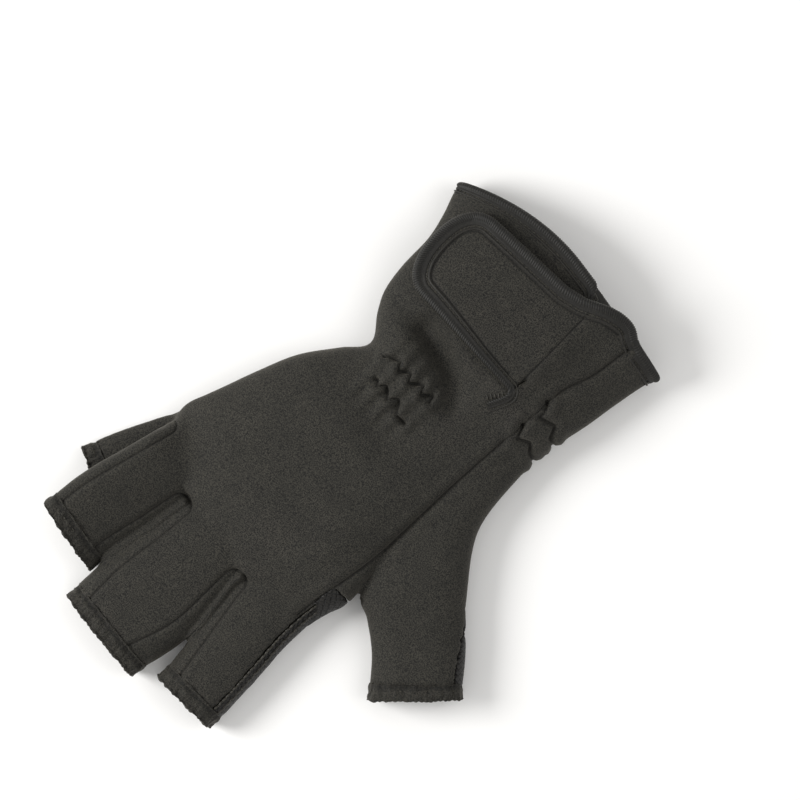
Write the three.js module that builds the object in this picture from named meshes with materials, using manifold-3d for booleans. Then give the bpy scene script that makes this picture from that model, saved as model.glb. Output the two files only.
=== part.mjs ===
// Half-finger neoprene fishing glove for the right hand, lying palm down.
// Millimetres, +Z up, +Y towards the fingers, +X towards the little finger.
import * as THREE from 'three';
import Module from 'manifold-3d';

const wasm = await Module();
wasm.setup();

// Cloth and clearances
const NEOPRENE = 2.5;
const SEAM_GAP = 0.3;
const FINGER_GAP = 0.6;
const SPARE_DEPTH = 1;
const WELD = 0.04;
const SLIVER = 0.004;

// Hand, from the cuff's mouth to the line of the knuckles
const HAND_LENGTH = 174;
const HAND_HEIGHT = 25;
const SIDE_LEVEL = 0.4;
const CROWN_POWER = 2.5;
const CORNER_STRETCH = 1.375;
const CORNER_SHARE = 0.6;

// Fingers, widths at the knuckles and lengths from the knuckle line to the hem
const INDEX_WIDTH = 30.5;
const MIDDLE_WIDTH = 36.5;
const RING_WIDTH = 30;
const LITTLE_WIDTH = 21;
const INDEX_LENGTH = 47;
const MIDDLE_LENGTH = 57.5;
const RING_LENGTH = 44.5;
const LITTLE_LENGTH = 23;
const FINGER_HEIGHT = 17;
const FINGER_ROOT = 27;
const FOURCHETTE_INSET = 5;
const CROTCH = 0.35;
const TILT_END = 0.36;

// Thumb, measured along its centre line from the wrist
const THUMB_LENGTH = 100;
const THUMB_WIDTH = 37;
const THUMB_HEIGHT = 17;
const THUMB_GRIP_INSET = 3;
const THUMB_SIDE_TURN = 1.35;

// Hems of the five cut-off ends
const HEM_WIDTH = 5;
const HEM_WALL = 3.3;
const HEM_FLARE = 0.7;

// Closure tab, its hidden hook pad and the bindings
const TAB_LENGTH = 63;
const TAB_WIDTH = 44;
const TAB_TURN = 8;
const PAD_LENGTH = 40;
const PAD_WIDTH = 24;
const PAD_THICKNESS = 1.1;
const BINDING_WIDTH = 6.5;
const BINDING_SKIN = 0.8;
const BINDING_CLEARANCE = 0.4;
const SLIT_END = 0.302;
const SLIT_HALF_TURN = 0.012;
const BAND_TRIM = 0.004;
const SLIT_BEND = 1;
const SLIT_TRIM = 0.02;
const TAB_START = 1.8;
const TAB_SEAM = 0.7;
const MOUTH_SLACK = 1.5;
const MOUTH_CLEARANCE = 1.8;
const TAB_ROOT_ALONG = 0.17;
const TAB_ROUND = 14;
const TAB_ROUNDNESS = 2.3;
const TAB_TAPER = 0.1;

// Elastic gathers on the back of the wrist
const GATHER_HEIGHT = 1.1;
const GATHER_PITCH = 8.5;

const HAND_WIDTH = INDEX_WIDTH + MIDDLE_WIDTH + RING_WIDTH;
const TAB_RAISE = NEOPRENE + PAD_THICKNESS + 6 * SEAM_GAP;
const BINDING_HALF = NEOPRENE / 2 + BINDING_CLEARANCE + BINDING_SKIN;
const MOUTH_LIFT = BINDING_CLEARANCE + BINDING_SKIN;

// Sections of the hand. along and both bows are shares of HAND_LENGTH, radial and ulnar are the
// two edges as shares of HAND_WIDTH from the middle finger, high is a share of HAND_HEIGHT.
const HAND = [
  { along: 0.000, radial: -0.539, ulnar: 0.542, high: 0.86, bowRadial: 0.010, bowUlnar: 0.100 },
  { along: 0.040, radial: -0.527, ulnar: 0.527, high: 0.87, bowRadial: 0.009, bowUlnar: 0.088 },
  { along: 0.115, radial: -0.523, ulnar: 0.487, high: 0.90, bowRadial: 0.006, bowUlnar: 0.057 },
  { along: 0.213, radial: -0.518, ulnar: 0.446, high: 0.94, bowRadial: 0.005, bowUlnar: 0.020 },
  { along: 0.316, radial: -0.497, ulnar: 0.420, high: 0.95, bowRadial: 0, bowUlnar: 0 },
  { along: 0.379, radial: -0.472, ulnar: 0.385, high: 0.93, bowRadial: 0, bowUlnar: 0 },
  { along: 0.420, radial: -0.460, ulnar: 0.335, high: 0.92, bowRadial: 0, bowUlnar: 0 },
  { along: 0.471, radial: -0.446, ulnar: 0.255, high: 0.91, bowRadial: 0, bowUlnar: 0 },
  { along: 0.529, radial: -0.436, ulnar: 0.310, high: 0.94, bowRadial: 0, bowUlnar: 0 },
  { along: 0.615, radial: -0.436, ulnar: 0.387, high: 1.00, bowRadial: 0, bowUlnar: 0 },
  { along: 0.713, radial: -0.446, ulnar: 0.429, high: 1.00, bowRadial: 0, bowUlnar: -0.010 },
  { along: 0.805, radial: -0.490, ulnar: 0.458, high: 0.96, bowRadial: -0.005, bowUlnar: -0.025 },
  { along: 0.875, radial: -0.512, ulnar: 0.478, high: 0.90, bowRadial: -0.015, bowUlnar: -0.045 },
  { along: 0.940, radial: -0.497, ulnar: 0.495, high: 0.78, bowRadial: -0.030, bowUlnar: -0.070 },
  { along: 1.000, radial: -0.492, ulnar: 0.487, high: 0.62, bowRadial: -0.045, bowUlnar: -0.090 },
];

// Lines sewn across the back: the slit's edge, and the seam beside the side panel, as shares of
// HAND_WIDTH from the middle finger at shares of HAND_LENGTH.
const SLIT = [
  { along: 0, across: -0.160 },
  { along: 0.07, across: -0.172 },
  { along: 0.26, across: -0.224 },
  { along: 0.38, across: -0.247 },
];
const SIDE_SEAM = [
  { along: 0.00, across: -0.372 },
  { along: 0.12, across: -0.374 },
  { along: 0.21, across: -0.347 },
  { along: 0.33, across: -0.363 },
  { along: 0.51, across: -0.389 },
  { along: 0.66, across: -0.419 },
  { along: 0.73, across: -0.432 },
  { along: 0.83, across: -0.432 },
  { along: 0.90, across: -0.427 },
  { along: 1.00, across: -0.430 },
];
const SIDE_PANEL_END = 0.86;

// Edge of the band's mouth, from the seam beside the side panel to the tab: across as a share of
// HAND_WIDTH, out as a share of HAND_LENGTH beyond the mouth's line.
const BAND_MOUTH = [
  { across: -0.356, out: 0.005 },
  { across: -0.330, out: 0.010 },
  { across: -0.295, out: 0.011 },
  { across: -0.245, out: 0.004 },
  { across: -0.195, out: -0.009 },
  { across: -0.150, out: -0.026 },
  { across: -0.113, out: -0.040 },
];

// Hollows and swellings of the back: centre and reach as shares of HAND_WIDTH and HAND_LENGTH,
// rise as a share of HAND_HEIGHT.
const DENTS = [
  { across: 0.09, along: 0.368, reachAcross: 0.20, reachAlong: 0.028, rise: -0.14 },
  { across: 0.15, along: 0.470, reachAcross: 0.17, reachAlong: 0.060, rise: 0.07 },
  { across: -0.02, along: 0.560, reachAcross: 0.16, reachAlong: 0.050, rise: -0.09 },
  { across: -0.30, along: 0.800, reachAcross: 0.10, reachAlong: 0.080, rise: 0.05 },
];
const GATHER = { across: 0.13, along: 0.480, reachAcross: 0.17, reachAlong: 0.070 };

// Edges of the fingers. along is a share of the finger's length, and shift moves its edge by a
// share of its own width. The index and middle fingers, and the middle and ring, share a crease.
const CREASE_INDEX_MIDDLE = [
  { along: -0.5, shift: 0 },
  { along: 0.03, shift: 0.036 },
  { along: 0.26, shift: -0.047 },
  { along: 0.47, shift: -0.134 },
  { along: 0.63, shift: -0.160 },
  { along: 1.00, shift: -0.118 },
];
const CREASE_MIDDLE_RING = [
  { along: -0.5, shift: 0 },
  { along: 0.26, shift: 0.011 },
  { along: 0.63, shift: 0.036 },
  { along: 1.00, shift: -0.020 },
];
const INDEX_OPENING = [
  { along: 0, shift: 0 },
  { along: 0.60, shift: 0 },
  { along: 0.80, shift: 0.060 },
  { along: 1.00, shift: 0.160 },
];
const INDEX_EDGE = [
  { along: -0.5, shift: 0.030 },
  { along: -0.25, shift: 0.050 },
  { along: 0.05, shift: 0.007 },
  { along: 0.32, shift: -0.079 },
  { along: 0.75, shift: -0.205 },
  { along: 1.00, shift: -0.235 },
];
const RING_EDGE = [
  { along: -0.6, shift: -0.120 },
  { along: -0.35, shift: -0.075 },
  { along: 0.1, shift: 0 },
  { along: 0.58, shift: 0.070 },
  { along: 1.00, shift: 0.060 },
];
const LITTLE_EDGE = [
  { along: -1.3, shift: -0.140 },
  { along: -0.7, shift: -0.010 },
  { along: -0.5, shift: 0.080 },
  { along: 0.2, shift: 0.320 },
  { along: 0.7, shift: 0.460 },
  { along: 1.00, shift: 0.530 },
];

// Sections of the thumb: centre as shares of THUMB_LENGTH from the wrist's radial edge, turn of
// the section in degrees, width and height as shares of the thumb's own, and how far the outer
// seam has come up from the side (-1) over the back (share of the way to the inset).
const THUMB = [
  { x: 0.140, y: -0.050, turn: 2, wide: 0.80, high: 1.00, seam: 0 },
  { x: 0.111, y: 0.144, turn: 20, wide: 0.735, high: 1.00, seam: 0 },
  { x: 0.039, y: 0.466, turn: 40, wide: 0.875, high: 1.04, seam: 0 },
  { x: -0.127, y: 0.703, turn: 50, wide: 1.09, high: 1.04, seam: 0.3 },
  { x: -0.237, y: 0.775, turn: 47, wide: 1.03, high: 1.00, seam: 0.7 },
  { x: -0.344, y: 0.846, turn: 50, wide: 0.97, high: 0.97, seam: 1 },
  { x: -0.460, y: 0.952, turn: 54, wide: 0.96, high: 1.00, seam: 1 },
];
const THUMB_ORIGIN = { across: -0.497, along: 0.316 };

// Reading the tables: a smooth curve through one column
function curve(rows, from, to) {
  const slope = (i) => {
    const a = rows[Math.max(i - 1, 0)];
    const b = rows[Math.min(i + 1, rows.length - 1)];
    return (b[to] - a[to]) / (b[from] - a[from]);
  };
  return (x) => {
    if (x <= rows[0][from]) return rows[0][to];
    const last = rows.length - 1;
    if (x >= rows[last][from]) return rows[last][to];
    let i = 0;
    while (rows[i + 1][from] < x) i += 1;
    const span = rows[i + 1][from] - rows[i][from];
    const t = (x - rows[i][from]) / span;
    const bend = t * t * (3 - 2 * t);
    const lead = t * (1 - t) * (1 - t) * span * slope(i);
    const trail = t * t * (t - 1) * span * slope(i + 1);
    return rows[i][to] * (1 - bend) + rows[i + 1][to] * bend + lead + trail;
  };
}

const mix = (a, b, t) => a + (b - a) * t;
const clamp = (x, low, high) => Math.min(Math.max(x, low), high);
const bell = (x) => Math.exp(-x * x);
const ease = (x) => x * x * (3 - 2 * x);
const radians = (degrees) => degrees * Math.PI / 180;
const spread = (from, to, count) => Array.from({ length: count + 1 }, (_, i) => mix(from, to, i / count));

// The outline of one section. turn runs from -2 (middle of the underside) over the radial edge
// at -1, the top at 0 and the ulnar edge at 1 to the underside again at 2.
function outline(half, high, turn) {
  const wrapped = turn > 2 ? turn - 4 : turn;
  const side = Math.sign(wrapped);
  const s = Math.abs(wrapped);
  const level = SIDE_LEVEL * high;
  const corner = Math.min(SIDE_LEVEL * high * CORNER_STRETCH, CORNER_SHARE * half);
  if (s <= 1) {
    const share = Math.sin(s * Math.PI / 2);
    const rise = Math.pow(1 - Math.pow(share, CROWN_POWER), 1 / CROWN_POWER);
    return [side * half * share, level + (high - level) * rise];
  }
  if (s <= 1.5) {
    const angle = (s - 1) * Math.PI;
    return [side * (half - corner + corner * Math.cos(angle)), level * (1 - Math.sin(angle))];
  }
  return [side * (half - corner) * (2 - s) * 2, 0];
}
const turnAtShare = (share) => Math.asin(clamp(share, -0.995, 0.995)) / (Math.PI / 2);

// A sewn tube. station(t) gives its section; depth goes inwards from the outer face.
function tube(station) {
  return {
    station,
    point(t, turn, depth) {
      const s = station(t);
      const [u, w] = outline(s.half - depth, s.high - 2 * depth, turn);
      const share = u / s.half;
      const bow = share < 0 ? s.bowRadial * share * share : s.bowUlnar * share * share;
      const x = s.x + u * Math.cos(s.lean) - bow * Math.sin(s.lean);
      const y = s.y + u * Math.sin(s.lean) + bow * Math.cos(s.lean);
      const top = clamp(w / (s.high - 2 * depth), 0, 1);
      const tilt = s.tilt * (share + 1) / 2;
      const rise = s.rise ? s.rise(x, y) * top : 0;
      return [x, y, s.lift + tilt + depth + w + rise];
    },
  };
}

// Hand
const handRadial = curve(HAND, 'along', 'radial');
const handUlnar = curve(HAND, 'along', 'ulnar');
const handHigh = curve(HAND, 'along', 'high');
const handBowRadial = curve(HAND, 'along', 'bowRadial');
const handBowUlnar = curve(HAND, 'along', 'bowUlnar');
const slitAcross = curve(SLIT, 'along', 'across');
const seamAcross = curve(SIDE_SEAM, 'along', 'across');

function nearness(spot, x, y) {
  const across = x / HAND_WIDTH;
  const along = y / HAND_LENGTH + 1;
  return bell((across - spot.across) / spot.reachAcross) * bell((along - spot.along) / spot.reachAlong);
}
const swollen = (x, y) => DENTS.reduce((rise, d) => rise + d.rise * HAND_HEIGHT * nearness(d, x, y), 0);
function gathered(x, y) {
  return swollen(x, y) + GATHER_HEIGHT * nearness(GATHER, x, y) * Math.cos(2 * Math.PI * x / GATHER_PITCH);
}

// The band beside the slit climbs to the level of the tab that is sewn to it
function bandRise(x, y) {
  const along = y / HAND_LENGTH + 1;
  const slit = slitAcross(along) * HAND_WIDTH;
  const seam = seamAcross(along) * HAND_WIDTH;
  const across = clamp((x - seam) / (slit - seam), 0, 1);
  const lengthwise = clamp((SLIT_END - 0.045 - along) / 0.035, 0, 1);
  return TAB_RAISE * ease(across) * ease(lengthwise);
}

function handStation(rise) {
  return (t) => {
    const radial = handRadial(t) * HAND_WIDTH;
    const ulnar = handUlnar(t) * HAND_WIDTH;
    const mouth = clamp((0.085 - t) / 0.04, 0, 1);
    return {
      x: (radial + ulnar) / 2,
      y: (t - 1) * HAND_LENGTH,
      half: (ulnar - radial) / 2,
      lean: 0,
      high: handHigh(t) * HAND_HEIGHT,
      lift: MOUTH_LIFT * mouth,
      tilt: 0,
      bowRadial: handBowRadial(t) * HAND_LENGTH,
      bowUlnar: handBowUlnar(t) * HAND_LENGTH,
      rise,
    };
  };
}
const hand = tube(handStation(gathered));
const lining = tube(handStation(swollen));
const raisedHand = tube(handStation((x, y) => gathered(x, y) + bandRise(x, y)));

function handTurn(across) {
  return (t) => {
    const s = hand.station(t);
    return turnAtShare((across(t) * HAND_WIDTH - s.x) / s.half);
  };
}
const slitTurn = handTurn(slitAcross);
const seamTurn = handTurn(seamAcross);

// Height of the back of the hand over a place in plan, level beyond its rounded edges
function handTop(x, y) {
  let t = y / HAND_LENGTH + 1;
  let share = 0;
  for (let step = 0; step < 6; step += 1) {
    const s = hand.station(t);
    share = clamp((x - s.x) / s.half, -0.8, 0.8);
    const bow = share < 0 ? s.bowRadial * share * share : s.bowUlnar * share * share;
    t = clamp((y - bow) / HAND_LENGTH + 1, -0.05, 1);
  }
  return hand.point(t, turnAtShare(share), 0)[2];
}

// Fingers
const middleRadialEdge = -MIDDLE_WIDTH / 2;
const middleUlnarEdge = MIDDLE_WIDTH / 2;
const indexEdge = middleRadialEdge - INDEX_WIDTH;
const ringEdge = middleUlnarEdge + RING_WIDTH;
function edge(base, rows, width, length) {
  const shift = curve(rows, 'along', 'shift');
  return (y) => base + shift(y / length) * width;
}
const creaseIndex = edge(middleRadialEdge, CREASE_INDEX_MIDDLE, MIDDLE_WIDTH, MIDDLE_LENGTH);
const creaseRing = edge(middleUlnarEdge, CREASE_MIDDLE_RING, MIDDLE_WIDTH, MIDDLE_LENGTH);
const indexOpening = edge(0, INDEX_OPENING, INDEX_WIDTH, INDEX_LENGTH);
const littleUlnar = edge(ringEdge, LITTLE_EDGE, LITTLE_WIDTH, LITTLE_LENGTH);

// lean is the slope of the hem in plan, high a share of FINGER_HEIGHT, and tilt the share of it
// by which the little finger's side of the section stands higher. The seams of the back lie in from
// the finger's edges by shares of FOURCHETTE_INSET, given at the crotch and at the hem.
const FINGERS = [
  {
    name: 'index', length: INDEX_LENGTH, lean: 0.14, high: 0.95, tilt: 0,
    radial: edge(indexEdge, INDEX_EDGE, INDEX_WIDTH, INDEX_LENGTH),
    ulnar: (y) => creaseIndex(y) - indexOpening(y) - FINGER_GAP / 2,
    seamRadial: [0.9, 0.9], seamUlnar: [0.8, 1.2],
  },
  {
    name: 'middle', length: MIDDLE_LENGTH, lean: 0.035, high: 1, tilt: 0,
    radial: (y) => creaseIndex(y) + FINGER_GAP / 2,
    ulnar: (y) => creaseRing(y) - FINGER_GAP / 2,
    seamRadial: [0.8, 2.3], seamUlnar: [0.8, 1.5],
  },
  {
    name: 'ring', length: RING_LENGTH, lean: -0.06, high: 0.76, tilt: 0.75,
    radial: (y) => creaseRing(y) + FINGER_GAP / 2,
    ulnar: edge(ringEdge, RING_EDGE, RING_WIDTH, RING_LENGTH),
    seamRadial: [0.8, 1.1], seamUlnar: [0.9, 0.8],
  },
  {
    name: 'little', length: LITTLE_LENGTH, lean: -0.3, high: 0.46, tilt: 0,
    radial: (y) => littleUlnar(y) - LITTLE_WIDTH,
    ulnar: littleUlnar,
    seamRadial: [0.8, 0.8], seamUlnar: [0.8, 0.8],
  },
];

function fingerTube(finger, grow = 0) {
  return tube((t) => {
    const y = mix(-FINGER_ROOT, finger.length, t);
    const lean = finger.lean * clamp(t * 1.6 - 0.6, 0, 1);
    const reach = (finger.ulnar(y) - finger.radial(y)) / 2;
    const radial = [finger.radial(y - lean * reach), y - lean * reach];
    const ulnar = [finger.ulnar(y + lean * reach), y + lean * reach];
    const width = Math.hypot(ulnar[0] - radial[0], ulnar[1] - radial[1]);
    return {
      x: (radial[0] + ulnar[0]) / 2,
      y: (radial[1] + ulnar[1]) / 2,
      half: width / 2 + grow,
      lean: Math.atan2(ulnar[1] - radial[1], ulnar[0] - radial[0]),
      high: finger.high * FINGER_HEIGHT + 2 * grow,
      lift: 0,
      tilt: finger.tilt * ease(clamp(t / TILT_END, 0, 1)) * FINGER_HEIGHT,
      bowRadial: 0,
      bowUlnar: 0,
    };
  });
}
const fingers = FINGERS.map((f) => ({ ...f, tube: fingerTube(f), hemTube: fingerTube(f, HEM_FLARE) }));

// Thumb
const thumbRows = THUMB.map((r, i) => ({ ...r, t: i / (THUMB.length - 1) }));
function thumbTube(grow) {
  const column = (key) => curve(thumbRows, 't', key);
  const [x, y, turn, wide, high] = ['x', 'y', 'turn', 'wide', 'high'].map(column);
  return tube((t) => ({
    x: THUMB_ORIGIN.across * HAND_WIDTH + x(t) * THUMB_LENGTH,
    y: (THUMB_ORIGIN.along - 1) * HAND_LENGTH + y(t) * THUMB_LENGTH,
    half: wide(t) * THUMB_WIDTH / 2 + grow,
    lean: radians(turn(t)),
    high: high(t) * THUMB_HEIGHT + 2 * grow,
    lift: 0,
    tilt: 0,
    bowRadial: 0,
    bowUlnar: 0,
  }));
}
const thumb = { name: 'thumb', tube: thumbTube(0), hemTube: thumbTube(HEM_FLARE) };
const thumbSeamShare = curve(thumbRows, 't', 'seam');
function thumbSeam(t) {
  const half = thumb.tube.station(t).half;
  return -mix(THUMB_SIDE_TURN, turnAtShare(1 - THUMB_GRIP_INSET / half), thumbSeamShare(t));
}

// Closed meshes. Rings are closed polygons with equally many points; cap lists the triangles
// that close one ring.
function solid(points, triangles) {
  const flat = new Float32Array(points.flat());
  let volume = 0;
  for (const [a, b, c] of triangles) {
    const [p, q, r] = [points[a], points[b], points[c]];
    volume += p[0] * (q[1] * r[2] - q[2] * r[1]) - p[1] * (q[0] * r[2] - q[2] * r[0])
      + p[2] * (q[0] * r[1] - q[1] * r[0]);
  }
  const faces = volume < 0 ? triangles.map(([a, b, c]) => [a, c, b]) : triangles;
  const triVerts = new Uint32Array(faces.flat());
  return new wasm.Manifold(new wasm.Mesh({ numProp: 3, vertProperties: flat, triVerts }));
}
function loft(rings, cap) {
  const n = rings[0].length;
  const last = (rings.length - 1) * n;
  const triangles = [];
  for (let i = 0; i < rings.length - 1; i += 1) {
    for (let j = 0; j < n; j += 1) {
      const [a, b] = [i * n + j, i * n + (j + 1) % n];
      triangles.push([a, b, b + n], [a, b + n, a + n]);
    }
  }
  for (const [a, b, c] of cap) triangles.push([a, c, b], [last + a, last + b, last + c]);
  return solid(rings.flat(), triangles);
}
const fanCap = (n) => spread(1, n - 2, n - 3).map((i) => [0, i, i + 1]);
function stripCap(n) {
  const triangles = [];
  for (let i = 0; i < n - 1; i += 1) {
    const [a, b, c, d] = [i, i + 1, 2 * n - 2 - i, 2 * n - 1 - i];
    triangles.push([a, b, c], [a, c, d]);
  }
  return triangles;
}

// A strip of a tube's wall between two turns, with its edges moved out by grow. It is a little
// thicker than the cloth, because the hollow of the glove is cut from it afterwards.
function wall(body, stations, from, to, count, grow = 0, depth = NEOPRENE + SPARE_DEPTH) {
  const last = stations[stations.length - 1];
  const [a, b] = [body.station(stations[0]), body.station(last)];
  const spare = grow * (last - stations[0]) / Math.hypot(a.x - b.x, a.y - b.y);
  const ends = stations.map((t, i) => {
    if (i === 0) return t - spare;
    return i === stations.length - 1 ? t + spare : t;
  });
  const widen = (t, turn) => {
    const [a, b] = [body.point(t, turn - 0.02, 0), body.point(t, turn + 0.02, 0)];
    return grow * 0.04 / Math.hypot(a[0] - b[0], a[1] - b[1], a[2] - b[2]);
  };
  const rings = ends.map((t) => {
    const [low, high] = [from(t), to(t)];
    const turns = spread(low - widen(t, low), high + widen(t, high), count);
    const outer = turns.map((s) => body.point(t, s, -grow));
    const inner = turns.map((s) => body.point(t, s, depth + grow)).reverse();
    return [...outer, ...inner];
  });
  return loft(rings, stripCap(count + 1));
}
const always = (value) => () => value;
const union = (solids) => solids.reduce((all, next) => all.add(next));
const without = (body, cutters) => cutters.reduce((left, next) => left.subtract(next), body);

// Stations of each tube, closer together where the form changes
const mouthStart = (BINDING_SKIN + MOUTH_CLEARANCE) / HAND_LENGTH;
const lipEnd = (BINDING_WIDTH + SEAM_GAP) / HAND_LENGTH;
const handStations = [mouthStart, lipEnd, 0.085, 0.14, 0.190, 0.222, 0.257, SLIT_END, 0.342, 0.368, 0.40, 0.43,
  0.46, 0.49, 0.53, 0.59, 0.66, 0.75, 0.82, SIDE_PANEL_END, 0.91, 0.96, 1];
const lowStations = [mouthStart, lipEnd, 0.085, 0.18, 0.33, 0.42, 0.47, 0.53, 0.64, 0.77, 0.86, 0.93, 1];
const boreStations = [mouthStart, lipEnd, 0.085, 0.18, 0.33, 0.368, 0.42, 0.47, 0.53, 0.64, 0.77, 0.86, 0.93];
const hemStart = (length) => 1 - HEM_WIDTH / length;
for (const f of fingers) {
  const span = f.length + FINGER_ROOT;
  f.hem = hemStart(span);
  f.stations = [0, 0.3, 0.45, 0.62, 0.8, f.hem - SEAM_GAP / span];
  f.openStations = [0, 0.3, 0.45, 0.62, 0.8, 1];
}
thumb.hem = hemStart(THUMB_LENGTH);
thumb.stations = [0, 0.17, 0.33, 0.5, 0.62, 0.75, 0.87, thumb.hem - SEAM_GAP / THUMB_LENGTH];
thumb.openStations = [0.06, 0.17, 0.33, 0.5, 0.62, 0.75, 0.87, 1];

// Everything inside the glove, open at the mouth and at the five ends
const FULL_TURN = 4;
const BORE_SIDES = 20;
const HAND_SIDES = 24;
const handEnd = 1 - NEOPRENE / HAND_LENGTH;
function beyond(body, t) {
  const [a, b] = [body.station(1), body.station(0.97)];
  const away = Math.hypot(a.x - b.x, a.y - b.y);
  return { dx: (a.x - b.x) / away * t, dy: (a.y - b.y) / away * t };
}
function bore(end) {
  const turns = spread(-2, 2, BORE_SIDES).slice(0, -1);
  const rings = end.openStations.map((t) => turns.map((s) => end.tube.point(t, s, NEOPRENE)));
  const push = beyond(end.tube, 2 * HEM_WIDTH);
  rings.push(rings[rings.length - 1].map(([x, y, z]) => [x + push.dx, y + push.dy, z]));
  return loft(rings, fanCap(BORE_SIDES));
}
function handBore() {
  const turns = spread(-2, 2, HAND_SIDES).slice(0, -1);
  const rings = [...boreStations, handEnd].map((t) => turns.map((s) => lining.point(t, s, NEOPRENE)));
  const mouth = rings[0].map(([x, y, z]) => [x, y - 4 * BINDING_WIDTH, z]);
  return loft([mouth, ...rings], fanCap(HAND_SIDES));
}
const hollow = union([handBore(), ...fingers.map(bore), bore(thumb)]);
const besideSlit = (t) => slitTurn(t) - BAND_TRIM;
const underSlit = (t) => slitTurn(t) + SLIT_HALF_TURN;
const openCuff = [...handStations.filter((t) => t <= SLIT_END), SLIT_END + SEAM_GAP / HAND_LENGTH];

// Binding folded over an edge: its section lies inwards from the fold and across the cloth.
// slack is the room that it leaves under the cloth.
const BINDING_SECTION = [
  [1, 1], [0.12, 1], [0, 0.45], [0, -0.45], [0.12, -1], [1, -1],
];
function sweep(places, slack = 0) {
  const groove = NEOPRENE / 2 + BINDING_CLEARANCE;
  const outer = BINDING_SECTION.map(([p, q]) => [p * BINDING_WIDTH, q * BINDING_HALF - (q < 0 ? slack : 0)]);
  const section = [...outer, [BINDING_WIDTH, -groove - slack], [BINDING_SKIN, -groove - slack],
    [BINDING_SKIN, groove], [BINDING_WIDTH, groove]];
  const cap = THREE.ShapeUtils.triangulateShape(section.map(([p, q]) => new THREE.Vector2(p, q)), []);
  return loft(places.map((place) => section.map(([p, q]) => place(p, q))), cap);
}

// Binding of the cuff's mouth, round the under layer, the palm side and the side panel
function mouthPlaces(body, from, to, count) {
  return spread(from, to, count).map((turn) => (p, q) => body.point(p / HAND_LENGTH, turn, NEOPRENE / 2 - q));
}
const cuffBinding = sweep(
  mouthPlaces(hand, underSlit(0) + SLIT_TRIM, FULL_TURN + seamTurn(0) - SLIT_HALF_TURN, 28),
  MOUTH_SLACK,
);

// The room beyond the fold of the band's binding, where the band's cloth ends
const bandMouth = BAND_MOUTH.map((r) => [r.across * HAND_WIDTH, -(1 + r.out) * HAND_LENGTH]);
const clothEdge = bandMouth.map(([x, y]) => [x, y + BINDING_SKIN + 2 * SEAM_GAP]);
const farEdge = bandMouth.map(([x, y]) => [x, y - HAND_HEIGHT]).reverse();
const beyondMouth = loft(
  [-HAND_HEIGHT, 2 * HAND_HEIGHT].map((z) => [...clothEdge, ...farEdge].map(([x, y]) => [x, y, z])),
  stripCap(BAND_MOUTH.length),
);

// Neoprene panels. Each one is cut back from the panels sewn over it by SEAM_GAP.
const UNDER_SEAM = 1.25;
const ULNAR_WRAP = 1.56;
const RADIAL_WRAP = 1.5;
function seamTurns(finger) {
  const turn = (insets) => (t) => {
    const inset = mix(...insets, clamp((t - CROTCH) / (1 - CROTCH), 0, 1)) * FOURCHETTE_INSET;
    return turnAtShare(1 - inset / finger.tube.station(t).half);
  };
  const [radial, ulnar] = [turn(finger.seamRadial), turn(finger.seamUlnar)];
  return { radial: (t) => -radial(t), ulnar };
}

function backPanel(grow) {
  const closed = handStations.filter((t) => t >= SLIT_END);
  const parts = [
    wall(hand, openCuff, underSlit, always(ULNAR_WRAP), 14, grow),
    wall(hand, closed, seamTurn, always(ULNAR_WRAP), 22, grow),
  ];
  for (const f of fingers) {
    const seam = seamTurns(f);
    const ulnar = f.name === 'little' ? always(ULNAR_WRAP) : seam.ulnar;
    parts.push(wall(f.tube, f.stations, seam.radial, ulnar, 6, grow));
  }
  return union(parts);
}
function band(grow) {
  return wall(raisedHand, openCuff, seamTurn, besideSlit, 6, grow, NEOPRENE);
}
function thumbPanel(grow) {
  const side = handStations.filter((t) => t <= SIDE_PANEL_END);
  return union([
    wall(hand, side, always(-RADIAL_WRAP), seamTurn, 8, grow),
    wall(thumb.tube, thumb.stations, thumbSeam, always(UNDER_SEAM), 9, grow),
  ]);
}
function palmPanel(grow) {
  const end = [SIDE_PANEL_END, ...lowStations.filter((t) => t > SIDE_PANEL_END)];
  const parts = [
    wall(hand, lowStations, always(ULNAR_WRAP), always(FULL_TURN - RADIAL_WRAP), 3, grow),
    wall(hand, end, always(-RADIAL_WRAP - 0.05), seamTurn, 6, grow),
  ];
  for (const f of fingers) {
    const seam = seamTurns(f);
    const under = f.name === 'little' ? always(ULNAR_WRAP) : always(UNDER_SEAM);
    const side = f.name === 'index' ? (t) => FULL_TURN + seam.radial(t) : always(FULL_TURN - UNDER_SEAM);
    parts.push(wall(f.tube, f.stations, under, side, 7, grow));
  }
  return union(parts);
}
const bandFree = band(0).subtract(beyondMouth);
const backCut = backPanel(SEAM_GAP).add(band(SEAM_GAP));
const thumbCut = thumbPanel(SEAM_GAP);
const palmCut = palmPanel(SEAM_GAP);
const back = without(backPanel(0), [hollow]).add(bandFree);
const thumbBack = without(thumbPanel(0), [hollow, backCut]);
const palm = without(palmPanel(0), [hollow, backCut, thumbCut]);
const thumbFront = without(
  wall(thumb.tube, thumb.stations, always(UNDER_SEAM), (t) => FULL_TURN + thumbSeam(t), 6),
  [hollow, backCut, thumbCut, palmCut],
);

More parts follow.
